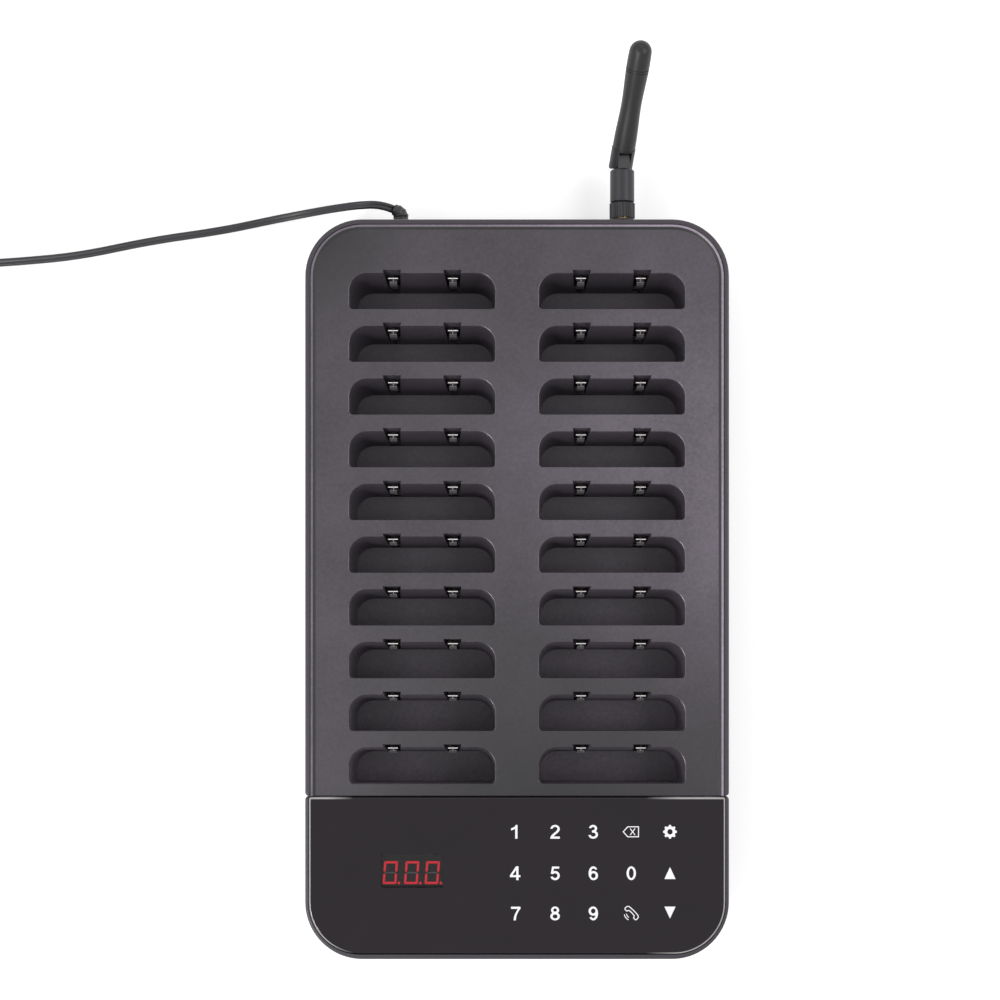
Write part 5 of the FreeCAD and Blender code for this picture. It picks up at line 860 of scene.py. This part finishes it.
sixLoops = [
    bow(0.0, 0.0, 1.9, 2.78, 36, 270) + bow(0.05, -0.95, 1.85, 1.83, -84, 116)
    + bow(0.05, 0.4, 0.95, 1.55, 164, 40),
    ring(0.03, -0.98, 0.93, 1.02),
]
digitLoops = {
    "0": [ring(0.0, 0.0, 1.9, 2.78), ring(0.0, 0.0, 0.98, 1.98)],
    "1": [[
        (0.95, -2.78), (0.95, 2.78), (0.3, 2.78), (0.05, 2.3), (-0.5, 1.8), (-1.65, 1.35), (-1.65, 0.55),
        (-0.75, 0.8), (0.02, 1.25), (0.02, -2.78),
    ]],
    "2": [
        [(1.9, -2.78), (-1.92, -2.78), (-1.86, -2.2), (-1.5, -1.5), (-0.9, -0.9), (0.3, 0.1), (0.8, 0.65)]
        + bow(0.0, 1.15, 0.98, 0.86, 0, 170) + bow(0.0, 1.1, 1.88, 1.68, 176, -12)
        + [(1.6, 0.2), (1.0, -0.42), (-0.2, -1.4), (-0.62, -1.92), (1.9, -1.92)],
    ],
    "3": [
        bow(-0.1, 1.34, 1.62, 1.44, 172, -52) + bow(-0.05, -1.14, 1.93, 1.64, 52, -172)
        + bow(-0.05, -1.14, 1.03, 0.82, -170, 84) + [(-0.55, -0.3), (-0.55, 0.44)]
        + bow(-0.1, 1.3, 0.74, 0.66, -84, 165),
    ],
    "4": [
        [
            (1.35, 2.78), (1.35, -0.78), (2.12, -0.78), (2.12, -1.58), (1.35, -1.58), (1.35, -2.78),
            (0.45, -2.78), (0.45, -1.58), (-2.1, -1.58), (-2.1, -0.88), (0.35, 2.78),
        ],
        [(0.45, -0.78), (0.45, 1.45), (-1.1, -0.78)],
    ],
    "5": [
        [(1.65, 2.7), (-1.2, 2.7), (-1.72, -0.22), (-0.9, -0.32)] + bow(0.0, -0.97, 0.98, 0.98, 135, -160)
        + bow(0.0, -0.95, 1.9, 1.84, -164, 122) + [(-0.72, 0.62), (-0.5, 1.86), (1.65, 1.86)],
    ],
    "6": sixLoops,
    "7": [[
        (-1.65, 2.7), (2.15, 2.7), (2.15, 1.95), (1.4, 0.95), (0.75, -0.35), (0.4, -1.55), (0.28, -2.78),
        (-0.62, -2.78), (-0.45, -1.4), (0.1, 0.05), (0.7, 1.15), (1.15, 1.84), (-1.65, 1.84),
    ]],
    "8": [
        bow(0.0, 1.32, 1.62, 1.46, -46, 226) + bow(0.0, -1.18, 1.92, 1.6, 128, 412),
        ring(0.0, 1.36, 0.74, 0.68),
        ring(0.0, -1.2, 1.0, 0.84),
    ],
    "9": [[(-across, -along) for across, along in loop] for loop in sixLoops],
}


def cutCorners(points):
    # each side keeps its middle half, and short new sides join the halves
    cut = []
    for here, after in zip(points, points[1:] + points[:1]):
        cut.append((here[0] * 0.75 + after[0] * 0.25, here[1] * 0.75 + after[1] * 0.25))
        cut.append((here[0] * 0.25 + after[0] * 0.75, here[1] * 0.25 + after[1] * 0.75))
    return cut


def turnedLoop(points, degrees, shift=(0, 0)):
    angle = math.radians(degrees)
    return [
        (
            x * math.cos(angle) - y * math.sin(angle) + shift[0],
            x * math.sin(angle) + y * math.cos(angle) + shift[1],
        )
        for x, y in points
    ]


def insetLoop(points, distance):
    # moves a closed outline, drawn counter-clockwise, inwards
    moved = []
    for before, here, after in zip(points[-1:] + points[:-1], points, points[1:] + points[:1]):
        first = Vector((here[0] - before[0], here[1] - before[1])).normalized()
        second = Vector((after[0] - here[0], after[1] - here[1])).normalized()
        inward = Vector((-first.y - second.y, first.x + second.x))
        inward /= max(0.2, 1 + first.dot(second))
        moved.append((here[0] + inward.x * distance, here[1] + inward.y * distance))
    return moved


def arcLoop(centre, radius, low, high, stroke):
    # a band along an arc
    outer = bow(*centre, radius + stroke / 2, radius + stroke / 2, low, high)
    inner = bow(*centre, radius - stroke / 2, radius - stroke / 2, high, low)
    return outer + inner


def eraseLoops():
    stroke, shape = keypad["stroke"], keypad["cross"]
    outer = [(-3.3, 0.0), (-1.3, -2.2), (3.3, -2.2), (3.3, 2.2), (-1.3, 2.2)]
    arm, half = shape["arm"], stroke * shape["halfShare"]
    cross = [
        (half, half), (arm, half), (arm, -half), (half, -half), (half, -arm), (-half, -arm),
        (-half, -half), (-arm, -half), (-arm, half), (-half, half), (-half, arm), (half, arm),
    ]
    cross = [(x * shape["squeeze"] + shape["across"], y) for x, y in turnedLoop(cross, 45)]
    return [outer, insetLoop(outer, stroke), cross]


def gearLoops():
    shape = keypad["gear"]
    root, tip = (shape["rootShare"], shape["root"]), (shape["tipShare"], shape["tip"])
    outer = []
    for tooth in range(shape["teeth"]):
        for side, (share, radius) in ((-1, root), (-1, tip), (1, tip), (1, root)):
            angle = 2 * math.pi * (tooth + side * share) / shape["teeth"]
            outer.append((radius * math.cos(angle), radius * math.sin(angle)))
    return [outer, ring(0.0, 0.0, shape["hole"], shape["hole"])]


def callLoops():
    # a slanting handset with two waves beside it
    stroke = keypad["stroke"]
    handset = [
        (-3.45, -0.475), (-3.45, 0.475), (-2.944, 1.2825), (-2.024, 1.4725), (0.0, 1.539), (2.024, 1.4725),
        (2.944, 1.2825), (3.45, 0.475), (3.45, -0.475), (3.128, -0.9975), (1.748, -0.9975), (1.61, -0.3325),
        (1.196, -0.0475), (-1.196, -0.0475), (-1.61, -0.3325), (-1.748, -0.9975), (-3.128, -0.9975),
    ]
    outer = turnedLoop(cutCorners(handset), -45, (0.2, 0.12))[::-1]
    waves = [(2.3, 192, 238), (3.2, 194, 246)]
    return [outer, insetLoop(outer, stroke)] + [
        arcLoop((0.35, 0.35), *wave, stroke * keypad["waveShare"]) for wave in waves
    ]


def arrowLoops(hand):
    outer = [(-2.25, -2.35), (2.25, -2.35), (0.0, 2.45)]
    return [[(x * hand, y * hand) for x, y in outer]]


markLoops = {
    **digitLoops,
    "erase": eraseLoops(),
    "gear": gearLoops(),
    "call": callLoops(),
    "up": arrowLoops(1),
    "down": arrowLoops(-1),
}


def flatMark(name, loops, thickness=0):
    curve = bpy.data.curves.new(name, "CURVE")
    curve.dimensions = "2D"
    curve.fill_mode = "BOTH"
    curve.extrude = thickness / 2 * mm
    for loop in loops:
        spline = curve.splines.new("POLY")
        spline.points.add(len(loop) - 1)
        for target, (x, y) in zip(spline.points, loop):
            target.co = (x * mm, y * mm, 0, 1)
        spline.use_cyclic_u = True
    mark = bpy.data.objects.new(name, curve)
    bpy.context.scene.collection.objects.link(mark)
    makeActive(mark)
    bpy.ops.object.convert(target="MESH")
    return bpy.context.object


def keypadMarks():
    for mark, (across, along) in keypad["marks"].items():
        piece = flatMark(f"mark_{mark}", markLoops[mark])
        piece.data.transform(Matrix.Translation((across * mm, along * mm, panelTop + keypad["rise"] * mm)))
        settle(piece)
        dress(piece, finishes["ink"])
        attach(piece, "base")


keypadMarks()
print("keypad marks made")


# the display's three digits: six lit bars and a point each, and an unlit bar across the middle

digits = {
    "across": (-51.25, -42.6, -34.3),
    "along": -114.65,
    "reach": 2.34,
    "rise": 4.17,
    "half": 0.43,
    "gap": 0.1,
    "middleGap": 0.28,
    "slant": 0.08,
    "point": (3.85, -4.2, 0.52),
    "darkHalf": 0.3,
    "thickness": 0.2,
}


def digitBars():
    reach, rise, half, gap = (digits[name] for name in ("reach", "rise", "half", "gap"))
    waist = digits["middleGap"]
    level = [
        (-reach - half + gap, rise + half), (reach + half - gap, rise + half),
        (reach - half - gap, rise - half), (-reach + half + gap, rise - half),
    ]
    upright = [
        (reach + half, rise + half - gap), (reach - half, rise - half - gap), (reach - half, half + waist),
        (reach, waist), (reach + half, half + waist),
    ]
    bars = [[(x, y * hand) for x, y in level] for hand in (1, -1)]
    bars += [[(x * side, y * hand) for x, y in upright] for side in (1, -1) for hand in (1, -1)]
    across, along, radius = digits["point"]
    bars.append(ring(across, along, radius, radius))
    return bars


def middleBar():
    reach, half = digits["reach"] - digits["gap"], digits["darkHalf"]
    return [[
        (-reach, 0), (-reach + half, half), (reach - half, half), (reach, 0), (reach - half, -half),
        (-reach + half, -half),
    ]]


def displayDigits(name, loops, finish):
    slanted = [
        [(x + y * digits["slant"] + across, y + digits["along"]) for x, y in loop]
        for across in digits["across"] for loop in loops
    ]
    piece = flatMark(name, slanted, digits["thickness"])
    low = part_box("display_segments")[0].z
    piece.data.transform(Matrix.Translation((0, 0, low + digits["thickness"] / 2 * mm)))
    settle(piece)
    dress(piece, finish)
    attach(piece, "base")
    return piece


litBars = displayDigits("litBars", digitBars(), finishes["segments"])
displayDigits("darkBars", middleBar(), finishes["darkSegments"])
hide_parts("display_segments")
print("display digits made")


# the floor, the world and the lamps

studio = {
    "floorSize": 6.0,
    "floorTone": 0.8,
    "floorLift": 0.4,
    "ambient": 0.75,
    "aim": (-10 * mm, 20 * mm, 20 * mm),
    "lamps": [
        ("lampRight", (0.85, 0.12, 1.05), (0.6, 0.5), 3.4),
        ("lampFrontLeft", (-0.66, -0.6, 1.07), (0.28, 0.28), 6.0),
        ("lampLeft", (-0.9, 0.1, 1.07), (1.1, 0.25), 2.6),
        ("lampRear", (0.2, 1.2, 1.1), (1.2, 0.8), 2.0),
    ],
}


def seenPlainly(tree):
    # 1 for rays from the camera, through clear pieces and off gloss, 0 for light that falls on the object
    rays = tree.nodes.new("ShaderNodeLightPath").outputs
    seen = mathNode(tree, "MAXIMUM", rays["Is Camera Ray"], rays["Is Transmission Ray"])
    return mathNode(tree, "MAXIMUM", seen, rays["Is Glossy Ray"])


def layFloor():
    deselectAll()
    bpy.ops.mesh.primitive_plane_add(size=studio["floorSize"], location=(0, 0, 0))
    floor = bpy.context.object
    floor.name = "floor"
    finish = bpy.data.materials.new("floorPale")
    finish.use_nodes = True
    tree = finish.node_tree
    tree.nodes.clear()
    out = tree.nodes.new("ShaderNodeOutputMaterial")
    paint = tree.nodes.new("ShaderNodeBsdfDiffuse")
    glow = tree.nodes.new("ShaderNodeEmission")
    paint.inputs["Color"].default_value = (studio["floorTone"],) * 3 + (1,)
    lift = mathNode(tree, "MULTIPLY", seenPlainly(tree), studio["floorLift"])
    tree.links.new(lift, glow.inputs["Strength"])
    both = tree.nodes.new("ShaderNodeAddShader")
    tree.links.new(paint.outputs[0], both.inputs[0])
    tree.links.new(glow.outputs[0], both.inputs[1])
    tree.links.new(both.outputs[0], out.inputs["Surface"])
    floor.data.materials.append(finish)


def lightWorld():
    world = bpy.data.worlds.new("studioWorld")
    bpy.context.scene.world = world
    world.use_nodes = True
    tree = world.node_tree
    background = tree.nodes["Background"]
    background.inputs["Color"].default_value = (1, 1, 1, 1)
    strength = rangeNode(tree, seenPlainly(tree), 0.0, 1.0, studio["ambient"], 1.0)
    tree.links.new(strength, background.inputs["Strength"])


def hangLamps():
    for name, place, (wide, long), power in studio["lamps"]:
        lampData = bpy.data.lights.new(name, "AREA")
        lampData.shape = "RECTANGLE"
        lampData.size = wide
        lampData.size_y = long
        lampData.energy = power
        lamp = bpy.data.objects.new(name, lampData)
        lamp.location = place
        aim = Vector(studio["aim"]) - Vector(place)
        lamp.rotation_euler = aim.to_track_quat("-Z", "Y").to_euler()
        bpy.context.scene.collection.objects.link(lamp)


layFloor()
lightWorld()
hangLamps()
bpy.context.scene.view_settings.view_transform = "Standard"
print("studio lit")
